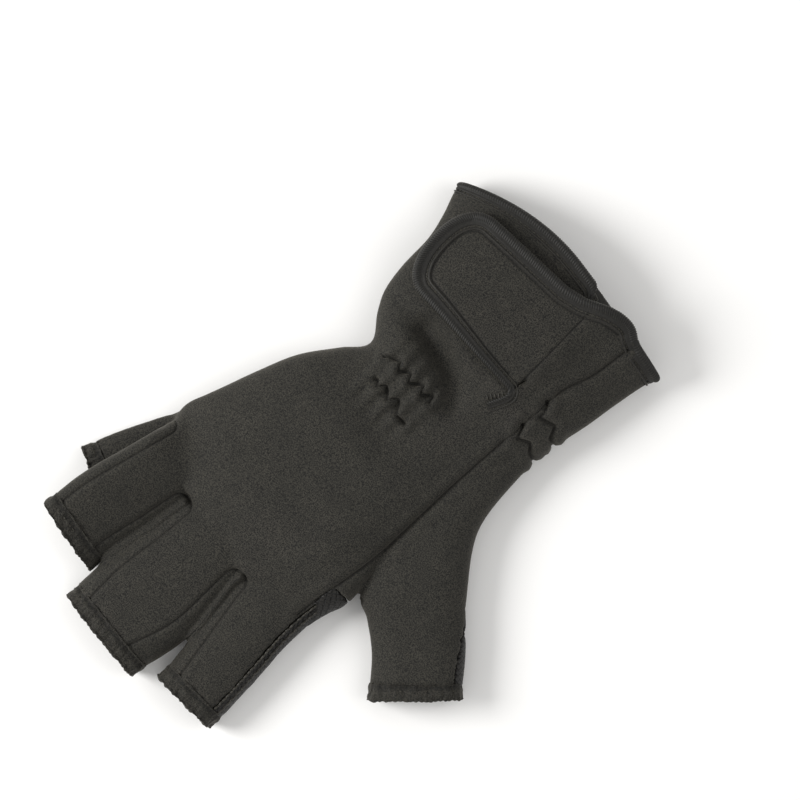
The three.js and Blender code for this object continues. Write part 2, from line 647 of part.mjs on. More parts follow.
// The strip between two fingers: one side of each, joined by the web that closes the hand
function fourchette(radialFinger, ulnarFinger) {
  const radialSeam = seamTurns(radialFinger);
  const ulnarSeam = seamTurns(ulnarFinger);
  const [low, high] = [radialFinger, ulnarFinger].map((f) => (f.radial(0) + f.ulnar(0)) / 2);
  const turns = spread(-2, 2, BORE_SIDES).slice(0, -1);
  const web = loft([handEnd, 1].map((t) => turns.map((s) => hand.point(t, s, 0))), fanCap(BORE_SIDES));
  const corners = [[low, -1], [high, -1], [high, 1], [low, 1]];
  const block = loft([-1, 1].map((z) => corners.map(([x, y]) =>
    [x, y * HAND_LENGTH / 4, z * 3 * HAND_HEIGHT])), fanCap(4));
  const cuts = [hollow, backCut, thumbCut, palmCut];
  const near = wall(radialFinger.tube, radialFinger.stations, radialSeam.ulnar, always(UNDER_SEAM), 3);
  const far = wall(ulnarFinger.tube, ulnarFinger.stations, always(-UNDER_SEAM), ulnarSeam.radial, 3);
  const rest = web.intersect(block);
  return {
    whole: () => without(union([rest, near, far]), cuts),
    near: () => without(near.add(rest), cuts),
    far: () => without(far, cuts),
  };
}

// The thick overlocked end of a finger or the thumb
function hem(end) {
  const stations = [end.hem, (end.hem + 1) / 2, 1];
  const turns = spread(-2, 2, BORE_SIDES).slice(0, -1);
  const outer = loft(stations.map((t) => turns.map((s) => end.hemTube.point(t, s, 0))), fanCap(BORE_SIDES));
  const reach = [2 * end.hem - 1, end.hem, 1, 2 - end.hem];
  const inner = loft(reach.map((t) => {
    const [a, b] = [end.hemTube.station(Math.min(t, 1)), end.hemTube.station(Math.min(t, 1) - 0.03)];
    const away = Math.hypot(a.x - b.x, a.y - b.y);
    const past = Math.max(t - 1, 0) * HAND_LENGTH;
    return turns.map((s) => {
      const [x, y, z] = end.hemTube.point(Math.min(t, 1), s, HEM_WALL);
      return [x + past * (a.x - b.x) / away, y + past * (a.y - b.y) / away, z];
    });
  }), fanCap(BORE_SIDES));
  return outer.subtract(inner);
}

// Closure tab: along it from the slit's edge, and across it from its middle
function tabHalf(u) {
  const square = TAB_LENGTH - TAB_ROUND;
  const past = clamp((u - square) / TAB_ROUND, 0, 1);
  const taper = 1 - TAB_TAPER * clamp(u / TAB_LENGTH, 0, 1);
  return TAB_WIDTH / 2 * taper * Math.pow(Math.max(1 - Math.pow(past, TAB_ROUNDNESS), 0), 1 / TAB_ROUNDNESS);
}
const tabAngle = radians(TAB_TURN);
function tabRoot(v) {
  const along = TAB_ROOT_ALONG + v / HAND_LENGTH;
  return [slitAcross(along) * HAND_WIDTH, (along - 1) * HAND_LENGTH];
}
function tabPlace(u, v) {
  const [x, y] = tabRoot(v);
  return [x + u * Math.cos(tabAngle), y + u * Math.sin(tabAngle)];
}
const tabLevel = (x, y) => handTop(x, y) + TAB_RAISE;
function cuffLevel(x, y) {
  const along = y / HAND_LENGTH + 1;
  const beside = along < TAB_ROOT_ALONG && x < slitAcross(along) * HAND_WIDTH;
  return beside ? handTop(x, y) + bandRise(x, y) : tabLevel(x, y);
}
function slab(us, halfAt, thickness, lift) {
  const across = spread(-1, 1, 6);
  const rows = us.map((u) => across.map((k) => tabPlace(u, k * halfAt(u))));
  const points = [];
  const triangles = [];
  const [n, m] = [rows.length, across.length];
  for (const top of [true, false]) {
    for (const row of rows) {
      for (const [x, y] of row) points.push([x, y, tabLevel(x, y) + lift - (top ? 0 : thickness)]);
    }
  }
  const at = (i, j, under) => i * m + j + (under ? n * m : 0);
  const quad = (a, b, c, d) => triangles.push([a, b, c], [a, c, d]);
  for (let i = 0; i < n - 1; i += 1) {
    for (let j = 0; j < m - 1; j += 1) {
      quad(at(i, j), at(i + 1, j), at(i + 1, j + 1), at(i, j + 1));
      quad(at(i, j, 1), at(i, j + 1, 1), at(i + 1, j + 1, 1), at(i + 1, j, 1));
    }
    quad(at(i, 0), at(i, 0, 1), at(i + 1, 0, 1), at(i + 1, 0));
    quad(at(i, m - 1), at(i + 1, m - 1), at(i + 1, m - 1, 1), at(i, m - 1, 1));
  }
  for (let j = 0; j < m - 1; j += 1) {
    quad(at(0, j), at(0, j + 1), at(0, j + 1, 1), at(0, j, 1));
    quad(at(n - 1, j), at(n - 1, j, 1), at(n - 1, j + 1, 1), at(n - 1, j + 1));
  }
  return solid(points, triangles);
}
const tabInset = BINDING_SKIN + SEAM_GAP;
const tabEnd = TAB_LENGTH - tabInset;
const tabStations = [TAB_SEAM, ...spread(TAB_LENGTH / 8, TAB_LENGTH - TAB_ROUND, 6),
  ...[0.3, 0.55, 0.75, 0.88, 0.95].map((k) => mix(TAB_LENGTH - TAB_ROUND, tabEnd, k)), tabEnd - 0.3];
const tab = slab(tabStations, (u) => Math.max(tabHalf(u * TAB_LENGTH / tabEnd) - tabInset, 2), NEOPRENE, 0);
const padStart = (TAB_LENGTH - PAD_LENGTH) * 0.55;
const pad = slab(spread(padStart, padStart + PAD_LENGTH, 7), always(PAD_WIDTH / 2), PAD_THICKNESS,
  -NEOPRENE - SEAM_GAP);

// Bound edge in plan, along the band's mouth, round the tab's tip to the slit's end and round it
function tabEdge() {
  const places = [...bandMouth];
  const round = spread(0, Math.PI / 2, 7).slice(1);
  const side = (sign, start) => {
    const list = spread(start, TAB_LENGTH - TAB_ROUND, 6).map((u) => [u, sign * tabHalf(u)]);
    for (const a of round.slice(0, -1)) {
      const past = Math.pow(Math.sin(a), 2 / TAB_ROUNDNESS);
      const u = TAB_LENGTH - TAB_ROUND + TAB_ROUND * past;
      list.push([u, sign * tabHalf(u)]);
    }
    return list;
  };
  const near = side(-1, 2 * BINDING_WIDTH);
  const far = side(1, TAB_START).reverse();
  for (const [u, v] of [...near, [TAB_LENGTH, 0], ...far]) places.push(tabPlace(u, v));
  const [x, y] = places[places.length - 1];
  for (const a of spread(Math.PI / 2, -Math.PI / 2, 8)) {
    places.push([x - TAB_START - SLIT_BEND * Math.cos(a), y + SLIT_BEND * (1 - Math.sin(a))]);
  }
  places.push([x + TAB_START, y + 2 * SLIT_BEND]);
  return places;
}
function alongEdge(places, level) {
  return places.map(([x, y], i) => {
    const a = places[Math.max(i - 1, 0)];
    const b = places[Math.min(i + 1, places.length - 1)];
    const size = Math.hypot(b[0] - a[0], b[1] - a[1]);
    const inward = [-(b[1] - a[1]) / size, (b[0] - a[0]) / size];
    return (p, q) => {
      const [px, py] = [x + inward[0] * p, y + inward[1] * p];
      return [px, py, level(px, py) - NEOPRENE / 2 + q];
    };
  });
}
const tabBinding = sweep(alongEdge(tabEdge(), cuffLevel));

// Looks of each piece: colour, roughness and metalness
const NEOPRENE_LOOK = { color: 0x3a3936, roughness: 0.85, metalness: 0 };
const GRIP_LOOK = { color: 0x48453f, roughness: 0.55, metalness: 0 };
const TAPE_LOOK = { color: 0x2b2a28, roughness: 0.8, metalness: 0 };
const HEM_LOOK = { color: 0x2e2d2b, roughness: 0.9, metalness: 0 };
const PAD_LOOK = { color: 0x1c1c1c, roughness: 0.9, metalness: 0 };

// Cutting leaves slivers along the seams: corners closer than WELD become one, and a triangle
// flatter than SLIVER gives its long edge to the neighbour that shares it.
function flatness(points, [a, b, c]) {
  const [p, q, r] = [a, b, c].map((i) => new THREE.Vector3().fromBufferAttribute(points, i));
  const sides = [[p, q, c], [q, r, a], [r, p, b]].map(([from, to, tip]) => [from.distanceTo(to), tip]);
  const [long, tip] = sides.sort((one, other) => other[0] - one[0])[0];
  const area = q.clone().sub(p).cross(r.clone().sub(p)).length();
  return { height: area / long, tip };
}
function welded(points) {
  const corners = [];
  const leader = [];
  for (let i = 0; i < points.count; i += 1) {
    const corner = new THREE.Vector3().fromBufferAttribute(points, i);
    corners.push(corner);
    const near = corners.findIndex((other, j) => leader[j] === j && other.distanceTo(corner) < WELD);
    leader.push(near < 0 || near === i ? i : near);
  }
  return leader;
}
function combed(geometry) {
  const points = geometry.attributes.position;
  const leader = welded(points);
  const index = Array.from(geometry.index.array, (i) => leader[i]);
  const kept = new Map();
  for (let i = 0; i < index.length; i += 3) {
    const face = index.slice(i, i + 3);
    const key = [...face].sort().join();
    if (kept.has(key)) kept.delete(key);
    else if (new Set(face).size === 3) kept.set(key, face);
  }
  const faces = [...kept.values()];
  for (let pass = 0; pass < 12; pass += 1) {
    const owner = new Map();
    faces.forEach((face, i) => face.forEach((v, k) => owner.set(`${v},${face[(k + 1) % 3]}`, i)));
    const touched = new Set();
    faces.forEach((face, i) => {
      const { height, tip } = flatness(points, face);
      const k = face.indexOf(tip);
      const [from, to] = [face[(k + 1) % 3], face[(k + 2) % 3]];
      const other = owner.get(`${to},${from}`);
      if (height > SLIVER || touched.has(i) || touched.has(other)) return;
      const far = faces[other].find((v) => v !== from && v !== to);
      if (owner.has(`${tip},${far}`) || owner.has(`${far},${tip}`)) return;
      faces[i] = [tip, from, far];
      faces[other] = [tip, far, to];
      owner.set(`${tip},${far}`, i);
      for (const face of [i, other]) touched.add(face);
    });
    if (touched.size === 0) break;
  }
  geometry.setIndex(faces.flat());
  return geometry;
}

// Cutting leaves crumbs along the seams, so a piece is the largest body of what is left
function piece(name, cut, look) {
  const [body] = cut.decompose().sort((a, b) => b.volume() - a.volume());
  const { vertProperties, triVerts } = body.getMesh();
  const geometry = new THREE.BufferGeometry();
  geometry.setAttribute('position', new THREE.Float32BufferAttribute(vertProperties, 3));
  geometry.setIndex(Array.from(triVerts));
  const flat = combed(geometry).toNonIndexed();
  flat.computeVertexNormals();
  const mesh = new THREE.Mesh(flat, new THREE.MeshStandardMaterial(look));
  mesh.name = name;
  return mesh;
}
const [index, middle, ring, little] = fingers;
const glove = new THREE.Group();
glove.add(piece('back_panel', back, NEOPRENE_LOOK));
glove.add(piece('thumb_panel', thumbBack, NEOPRENE_LOOK));
glove.add(piece('palm_panel', palm, GRIP_LOOK));
glove.add(piece('thumb_grip', thumbFront, GRIP_LOOK));
glove.add(piece('fourchette_index_middle', fourchette(index, middle).whole(), NEOPRENE_LOOK));
glove.add(piece('fourchette_middle_ring', fourchette(middle, ring).whole(), NEOPRENE_LOOK));
glove.add(piece('fourchette_ring_little', fourchette(ring, little).near(), NEOPRENE_LOOK));
glove.add(piece('fourchette_under_ring', fourchette(ring, little).far(), NEOPRENE_LOOK));
for (const end of [...fingers, thumb]) glove.add(piece(`hem_${end.name}`, hem(end), HEM_LOOK));
glove.add(piece('closure_tab', tab, NEOPRENE_LOOK));
glove.add(piece('closure_pad', pad, PAD_LOOK));
glove.add(piece('tab_binding', tabBinding, TAPE_LOOK));
glove.add(piece('cuff_binding', cuffBinding, TAPE_LOOK));

// The origin is the middle of the underside
const box = new THREE.Box3().setFromObject(glove);
const centre = box.getCenter(new THREE.Vector3());
glove.position.set(-centre.x, -centre.y, -box.min.z);
const part = new THREE.Group();
part.add(glove);
export default part;
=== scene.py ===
# %% [markdown]
# # A half-finger neoprene glove
# The right glove lies on its palm. Its cloth is neoprene foam faced with jersey, sewn from panels with
# flat seams, and its palm carries a printed grip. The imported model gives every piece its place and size.
# Here each piece gets its cloth: smooth faces, pressed seams, gathers, bindings, stitches and materials.

# %% Load the frame
import math

import bpy
import numpy as np
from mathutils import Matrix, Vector, noise
from mathutils.bvhtree import BVHTree
from mathutils.kdtree import KDTree


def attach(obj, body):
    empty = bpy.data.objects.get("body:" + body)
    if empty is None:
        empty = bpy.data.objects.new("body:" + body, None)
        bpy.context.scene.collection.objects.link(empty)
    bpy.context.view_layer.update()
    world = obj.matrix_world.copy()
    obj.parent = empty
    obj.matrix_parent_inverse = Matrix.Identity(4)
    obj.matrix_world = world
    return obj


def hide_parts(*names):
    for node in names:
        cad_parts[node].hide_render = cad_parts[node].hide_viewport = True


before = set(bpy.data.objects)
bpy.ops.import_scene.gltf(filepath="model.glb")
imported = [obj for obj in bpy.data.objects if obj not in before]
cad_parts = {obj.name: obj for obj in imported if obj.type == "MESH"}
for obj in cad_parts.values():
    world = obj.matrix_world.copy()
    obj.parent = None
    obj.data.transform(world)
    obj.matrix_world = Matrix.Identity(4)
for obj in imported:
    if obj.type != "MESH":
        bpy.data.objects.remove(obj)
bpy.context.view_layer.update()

MM = 0.001

# %% [markdown]
# ## The pattern of the glove
# The panels follow sewn tubes: one for the hand, one for each finger and one for the thumb. Each tube is
# a row of flat-bottomed oval sections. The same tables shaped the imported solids, which are faceted, and
# here they give the smooth faces that the cloth is fitted to.

# %% Tables of the sections, in millimetres and shares
HAND_LENGTH, HAND_WIDTH, HAND_HEIGHT = 174.0, 97.0, 25.0
FINGER_ROOT, FINGER_HEIGHT, FINGER_GAP = 27.0, 17.0, 0.6
THUMB_LENGTH, THUMB_WIDTH, THUMB_HEIGHT = 100.0, 37.0, 17.0
NEOPRENE, TAB_RAISE, SEAM_INSET = 2.5, 5.4, 5.0
TAB_LENGTH, TAB_WIDTH, TAB_ROUND, TAB_TURN = 63.0, 44.0, 14.0, math.radians(8)
TAB_ALONG, TAB_POWER, TAB_PRESS, PRESS_REACH, HEM_WIDTH = 0.17, 2.3, 2.3, 12.0, 5.0
TAB_DOWN = (1 - TAB_ALONG) * HAND_LENGTH
MIDDLE = np.array([22.8306, 58.8493, 0.0])

# along, radial edge, ulnar edge, height, bow of the radial side, bow of the ulnar side
HAND = np.array([
    (0.000, -0.539, 0.542, 0.86, 0.010, 0.100), (0.040, -0.527, 0.527, 0.87, 0.009, 0.088),
    (0.115, -0.523, 0.487, 0.90, 0.006, 0.057), (0.213, -0.518, 0.446, 0.94, 0.005, 0.020),
    (0.316, -0.497, 0.420, 0.95, 0, 0), (0.379, -0.472, 0.385, 0.93, 0, 0),
    (0.420, -0.460, 0.335, 0.92, 0, 0), (0.471, -0.446, 0.255, 0.91, 0, 0),
    (0.529, -0.436, 0.310, 0.94, 0, 0), (0.615, -0.436, 0.387, 1.00, 0, 0),
    (0.713, -0.446, 0.429, 1.00, 0, -0.010), (0.805, -0.490, 0.458, 0.96, -0.005, -0.025),
    (0.875, -0.512, 0.478, 0.90, -0.015, -0.045), (0.940, -0.497, 0.495, 0.78, -0.030, -0.070),
    (1.000, -0.492, 0.487, 0.62, -0.045, -0.090),
])
SLIT = np.array([(0, -0.160), (0.07, -0.172), (0.26, -0.224), (0.38, -0.247)])
SIDE_SEAM = np.array([
    (0.00, -0.372), (0.12, -0.374), (0.21, -0.347), (0.33, -0.363), (0.51, -0.389),
    (0.66, -0.419), (0.73, -0.432), (0.83, -0.432), (0.90, -0.427), (1.00, -0.430),
])
# Swellings: across, along, reach across, reach along, rise
SWELLINGS = [
    (0.09, 0.368, 0.20, 0.028, -0.14), (0.15, 0.470, 0.17, 0.060, 0.07),
    (-0.02, 0.560, 0.16, 0.050, -0.09), (-0.30, 0.800, 0.10, 0.080, 0.05),
]
# Finger edges: along, shift
CREASE_INDEX = np.array([
    (-0.5, 0), (0.03, 0.036), (0.26, -0.047), (0.47, -0.134), (0.63, -0.160), (1, -0.118),
])
CREASE_RING = np.array([(-0.5, 0), (0.26, 0.011), (0.63, 0.036), (1, -0.020)])
INDEX_OPENING = np.array([(0, 0), (0.60, 0), (0.80, 0.060), (1, 0.160)])
INDEX_EDGE = np.array([
    (-0.5, 0.030), (-0.25, 0.050), (0.05, 0.007), (0.32, -0.079), (0.75, -0.205), (1, -0.235),
])
RING_EDGE = np.array([(-0.6, -0.120), (-0.35, -0.075), (0.1, 0), (0.58, 0.070), (1, 0.060)])
LITTLE_EDGE = np.array([
    (-1.3, -0.140), (-0.7, -0.010), (-0.5, 0.080), (0.2, 0.320), (0.7, 0.460), (1, 0.530),
])
# Thumb: place along the rows, x, y, turn, width, height
THUMB = np.array([
    (0, 0.140, -0.050, 2, 0.80, 1.00), (1, 0.111, 0.144, 20, 0.735, 1.00),
    (2, 0.039, 0.466, 40, 0.875, 1.04), (3, -0.127, 0.703, 50, 1.09, 1.04),
    (4, -0.237, 0.775, 47, 1.03, 1.00), (5, -0.344, 0.846, 50, 0.97, 0.97),
    (6, -0.460, 0.952, 54, 0.96, 1.00),
])


# %% A smooth curve through one column of a table
def curve(rows, column=1):
    x, y = rows[:, 0], rows[:, column]
    rise = np.r_[y[1:], y[-1:]] - np.r_[y[:1], y[:-1]]
    run = np.r_[x[1:], x[-1:]] - np.r_[x[:1], x[:-1]]
    slope = rise / run

    def at(t):
        t = np.clip(t, x[0], x[-1])
        i = np.clip(np.searchsorted(x, t, side="right") - 1, 0, len(x) - 2)
        span = x[i + 1] - x[i]
        f = (t - x[i]) / span
        bend = f * f * (3 - 2 * f)
        lead = f * (1 - f) ** 2 * span * slope[i]
        trail = f * f * (f - 1) * span * slope[i + 1]
        return y[i] * (1 - bend) + y[i + 1] * bend + lead + trail

    return at


# %% A section, and a point on a tube of sections
def outline(half, high, turn):
    """Across and up for a turn of -2..2: 0 is the top, 1 and -1 the sides, 2 and -2 the underside."""
    side, s = np.sign(turn), np.abs(turn)
    level = 0.4 * high
    corner = np.minimum(0.55 * high, 0.6 * half)
    share = np.sin(np.minimum(s, 1) * np.pi / 2)
    top = level + (high - level) * (1 - share**2.5) ** 0.4
    angle = (np.clip(s, 1, 1.5) - 1) * np.pi
    across = np.where(s <= 1, half * share, half - corner + corner * np.cos(angle))
    across = np.where(s > 1.5, (half - corner) * (2 - s) * 2, across)
    up = np.where(s <= 1, top, level * (1 - np.sin(angle)))
    return side * across, np.where(s > 1.5, 0, up)


def point(station, t, turn, depth=0.0):
    """Places on a tube, in the row frame, in millimetres. depth goes into the cloth."""
    t, turn = np.broadcast_arrays(np.asarray(t, float), np.asarray(turn, float))
    s = station(t)
    u, w = outline(s["half"] - depth, s["high"] - 2 * depth, turn)
    share = u / s["half"]
    bow = np.where(share < 0, s["bow_radial"], s["bow_ulnar"]) * share**2
    x = s["x"] + u * np.cos(s["lean"]) - bow * np.sin(s["lean"])
    y = s["y"] + u * np.sin(s["lean"]) + bow * np.cos(s["lean"])
    rise = s["rise"](x, y) * np.clip(w / s["high"], 0, 1)
    z = s["lift"] + s["tilt"] * (share + 1) / 2 + depth + w + rise
    return np.stack([x, y, z], -1) + MIDDLE


def turn_at(share):
    return np.arcsin(np.clip(share, -0.995, 0.995)) / (np.pi / 2)


# %% The hand's tube
def bell(x):
    return np.exp(-x * x)


def ease(x):
    return x * x * (3 - 2 * x)


def swollen(x, y):
    rise = 0
    for across, along, reach_across, reach_along, high in SWELLINGS:
        near = bell((x / HAND_WIDTH - across) / reach_across)
        rise = rise + high * HAND_HEIGHT * near * bell((y / HAND_LENGTH + 1 - along) / reach_along)
    return rise


hand_columns = [curve(HAND, k) for k in range(1, 6)]
slit_across, seam_across = curve(SLIT), curve(SIDE_SEAM)


def hand_station(rise):
    def station(t):
        radial, ulnar, high, bow_radial, bow_ulnar = [column(t) for column in hand_columns]
        return {
            "x": (radial + ulnar) / 2 * HAND_WIDTH, "y": (t - 1) * HAND_LENGTH,
            "half": (ulnar - radial) / 2 * HAND_WIDTH, "high": high * HAND_HEIGHT, "lean": 0.0,
            "lift": 1.2 * np.clip((0.085 - t) / 0.04, 0, 1), "tilt": 0.0,
            "bow_radial": bow_radial * HAND_LENGTH, "bow_ulnar": bow_ulnar * HAND_LENGTH, "rise": rise,
        }

    return station


def band_rise(x, y):
    """The band beside the slit climbs to the tab that is sewn to it."""
    along = y / HAND_LENGTH + 1
    slit, seam = slit_across(along) * HAND_WIDTH, seam_across(along) * HAND_WIDTH
    across = np.clip((x - seam) / (slit - seam), 0, 1)
    lengthwise = np.clip((0.257 - along) / 0.035, 0, 1)
    return TAB_RAISE * ease(across) * ease(lengthwise)


hand = hand_station(swollen)
raised_hand = hand_station(lambda x, y: swollen(x, y) + band_rise(x, y))


# %% The fingers' tubes
def edge(base, rows, width, length):
    shift = curve(rows)
    return lambda y: base + shift(y / length) * width


crease_index = edge(-18.25, CREASE_INDEX, 36.5, 57.5)
crease_ring = edge(18.25, CREASE_RING, 36.5, 57.5)
index_opening = edge(0, INDEX_OPENING, 30.5, 47)
little_ulnar = edge(48.25, LITTLE_EDGE, 21, 23)
# name: length, lean of the hem, height, tilt, radial and ulnar edge, insets of both seams
FINGERS = {
    "index": (47, 0.14, 0.95, 0, edge(-48.75, INDEX_EDGE, 30.5, 47),
              lambda y: crease_index(y) - index_opening(y) - FINGER_GAP / 2, (0.9, 0.9), (0.8, 1.2)),
    "middle": (57.5, 0.035, 1, 0, lambda y: crease_index(y) + FINGER_GAP / 2,
               lambda y: crease_ring(y) - FINGER_GAP / 2, (0.8, 2.3), (0.8, 1.5)),
    "ring": (44.5, -0.06, 0.76, 0.75, lambda y: crease_ring(y) + FINGER_GAP / 2,
             edge(48.25, RING_EDGE, 30, 44.5), (0.8, 1.1), (0.9, 0.8)),
    "little": (23, -0.3, 0.46, 0, lambda y: little_ulnar(y) - 21, little_ulnar, (0.8, 0.8), (0.8, 0.8)),
}


def level(x, y):
    return np.zeros_like(x)


def finger_station(name):
    length, hem_lean, high, tilt, radial, ulnar, _, _ = FINGERS[name]

    def station(t):
        y = -FINGER_ROOT + (length + FINGER_ROOT) * t
        lean = hem_lean * np.clip(t * 1.6 - 0.6, 0, 1)
        reach = (ulnar(y) - radial(y)) / 2
        low_x, low_y = radial(y - lean * reach), y - lean * reach
        high_x, high_y = ulnar(y + lean * reach), y + lean * reach
        return {
            "x": (low_x + high_x) / 2, "y": (low_y + high_y) / 2,
            "half": np.hypot(high_x - low_x, high_y - low_y) / 2,
            "lean": np.arctan2(high_y - low_y, high_x - low_x),
            "high": high * FINGER_HEIGHT, "lift": 0.0,
            "tilt": tilt * ease(np.clip(t / 0.36, 0, 1)) * FINGER_HEIGHT,
            "bow_radial": 0.0, "bow_ulnar": 0.0, "rise": level,
        }

    return station


def seam_turn(name, side):
    """The turn at which a finger's back panel is sewn to the strip beside the finger."""
    station, (root, hem) = finger_station(name), FINGERS[name][6 if side < 0 else 7]

    def turn(t):
        inset = root + (hem - root) * np.clip((t - 0.35) / 0.65, 0, 1)
        return side * turn_at(1 - inset * SEAM_INSET / station(t)["half"])

    return turn


# %% The thumb's tube
thumb_columns = [curve(THUMB, k) for k in range(1, 6)]


def thumb_station(t):
    x, y, turn, wide, high = [column(np.asarray(t) * 6) for column in thumb_columns]
    return {
        "x": -0.497 * HAND_WIDTH + x * THUMB_LENGTH, "y": -0.684 * HAND_LENGTH + y * THUMB_LENGTH,
        "half": wide * THUMB_WIDTH / 2, "lean": np.radians(turn), "high": high * THUMB_HEIGHT, "lift": 0.0,
        "tilt": 0.0, "bow_radial": 0.0, "bow_ulnar": 0.0, "rise": level,
    }


TUBES = {name: finger_station(name) for name in FINGERS}
TUBES["thumb"] = thumb_station
LENGTHS = {name: FINGERS[name][0] + FINGER_ROOT for name in FINGERS}
LENGTHS["thumb"] = THUMB_LENGTH
print("tubes", sorted(TUBES))


# %% The back of the hand in plan, and the closure tab that lies over it
def hand_top(x, y):
    """Height of the back of the hand over places in the row frame."""
    x, y = x - MIDDLE[0], y - MIDDLE[1]
    t = y / HAND_LENGTH + 1
    for _ in range(6):
        s = hand(t)
        share = np.clip((x - s["x"]) / s["half"], -0.8, 0.8)
        bow = np.where(share < 0, s["bow_radial"], s["bow_ulnar"]) * share**2
        t = np.clip((y - bow) / HAND_LENGTH + 1, -0.05, 1)
    return point(hand, t, turn_at(share))[..., 2]


def tab_place(u, v):
    """Row frame place of a point u along the tab from the slit and v across from its middle."""
    along = TAB_ALONG + v / HAND_LENGTH
    x = slit_across(along) * HAND_WIDTH + u * math.cos(TAB_TURN)
    y = (along - 1) * HAND_LENGTH + u * math.sin(TAB_TURN)
    return np.stack([x, y], -1) + MIDDLE[:2]


def tab_half(u):
    past = np.clip((u - TAB_LENGTH + TAB_ROUND) / TAB_ROUND, 0, 1)
    taper = 1 - 0.1 * np.clip(u / TAB_LENGTH, 0, 1)
    return TAB_WIDTH / 2 * taper * np.clip(1 - past**TAB_POWER, 0, 1) ** (1 / TAB_POWER)


# %% Heights beside the slit and at its closed end
SLIT_TIP = np.array([-22.4, -122.0]) + MIDDLE[:2]


def slit_x(y):
    """Where the slit's edge runs, for places along the hand in the row frame."""
    return slit_across((y - MIDDLE[1]) / HAND_LENGTH + 1) * HAND_WIDTH + MIDDLE[0]


def pressed(x, y):
    """How far the layers at the slit's closed end are sewn flat together: 1 at the end, 0 away."""
    return np.exp(-((x - SLIT_TIP[0]) ** 2 + (y - SLIT_TIP[1]) ** 2) / PRESS_REACH**2)


def tab_level(x, y):
    return hand_top(x, y) + TAB_RAISE - TAB_PRESS * pressed(x, y)


def sewn_rise(x, y):
    """How far the band, and the cloth past the slit's end, stand over the hand to meet the tab."""
    slit = slit_x(y)
    seam = seam_across((y - MIDDLE[1]) / HAND_LENGTH + 1) * HAND_WIDTH + MIDDLE[0]
    across = ease(np.clip((x - seam) / (slit - seam), 0, 1)) * np.exp(-((np.maximum(x - slit, 0) / 9) ** 2))
    lengthwise = 1 - ease(np.clip((y - SLIT_TIP[1] + 3) / 13, 0, 1))
    return (TAB_RAISE - TAB_PRESS * pressed(x, y)) * across * lengthwise


def slit_turn(t):
    s = hand(t)
    return turn_at((slit_across(t) * HAND_WIDTH - s["x"]) / s["half"])


# %% [markdown]
# ## Fitting cloth to the pattern
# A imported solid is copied, its loose triangles are merged, and a voxel remesh gives it an even skin.
# Every place of that skin that lies near a smooth face of the pattern is then drawn onto it. Doing it
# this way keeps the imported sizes, and the skin is fine enough for seams and folds to be pressed into it.

# %% Faces of the pattern that cloth is drawn to
class Pattern:
    """Smooth faces, with the flat lengths across and along at each of their corners."""

    def __init__(self):
        self.corners, self.faces, self.flat = [], [], []
        self.count = 0

    def add_grid(self, places, flat=None):
        rows, columns = places.shape[:2]
        i, j = np.meshgrid(np.arange(rows - 1), np.arange(columns - 1), indexing="ij")
        a = (i * columns + j).ravel() + self.count
        self.faces.append(np.stack([a, a + 1, a + columns + 1, a + columns], -1))
        self.corners.append(places.reshape(-1, 3))
        self.flat.append((np.zeros((rows, columns, 2)) if flat is None else flat).reshape(-1, 2))
        self.count += rows * columns
        return self

    def add(self, station, rows, columns, start=0.0, end=1.0, high=2.0, length=None):
        """A tube from start to end. Lengths across run up both sides from the underside's middle."""
        t = np.linspace(start, end, rows)[:, None]
        top = high(t) if callable(high) else np.full((rows, 1), high)
        turn = -2 + (top + 2) * np.linspace(0, 1, columns)[None, :]
        places = point(station, t, turn)
        step = np.linalg.norm(np.diff(places, axis=1), axis=2)
        arc = np.concatenate([np.zeros((rows, 1)), np.cumsum(step, axis=1)], 1)
        shift = places[:, :1, 0] if length is None else 0
        across = shift + np.where(turn < 0, -arc, arc[:, -1:] - arc)
        along = places[:, :1, 1] + 0 * arc if length is None else length * t + 0 * arc
        return self.add_grid(places, np.stack([across, along], -1))

    def tree(self):
        self.corners, self.faces = np.concatenate(self.corners), np.concatenate(self.faces)
        self.flat = np.concatenate(self.flat)
        self.bvh = BVHTree.FromPolygons((self.corners * MM).tolist(), self.faces.tolist())
        return self

    def flat_at(self, places, reach=8.0):
        """Flat lengths of places near the pattern, read off inside the nearest face."""
        found = np.zeros((len(places), 2))
        for i, p in enumerate(places):
            spot, _, face, _ = self.bvh.find_nearest(Vector(p * MM), reach * MM)
            if face is None:
                continue
            a, b, c, d = self.corners[self.faces[face]]
            fa, fb, fc, fd = self.flat[self.faces[face]]
            spot = np.array(spot) / MM - a
            u = np.clip(spot @ (b - a) / max((b - a) @ (b - a), 1e-9), 0, 1)
            v = np.clip(spot @ (d - a) / max((d - a) @ (d - a), 1e-9), 0, 1)
            found[i] = (1 - v) * ((1 - u) * fa + u * fb) + v * ((1 - u) * fd + u * fc)
        return found


# %% Helpers for objects, modifiers and vertices
def activate(obj):
    bpy.ops.object.select_all(action="DESELECT")
    obj.select_set(True)
    bpy.context.view_layer.objects.active = obj


def modify(obj, kind, **settings):
    activate(obj)
    modifier = obj.modifiers.new(kind.title(), kind)
    for key, value in settings.items():
        setattr(modifier, key, value)
    bpy.ops.object.modifier_apply(modifier=modifier.name)


def places_of(obj):
    flat = np.empty(len(obj.data.vertices) * 3, np.float32)
    obj.data.vertices.foreach_get("co", flat)
    return flat.reshape(-1, 3).astype(float) / MM


def normals_of(obj):
    flat = np.empty(len(obj.data.vertices) * 3, np.float32)
    obj.data.vertex_normals.foreach_get("vector", flat)
    return flat.reshape(-1, 3).astype(float)


def place(obj, places):
    obj.data.vertices.foreach_set("co", (places * MM).astype(np.float32).ravel())
    obj.data.update()


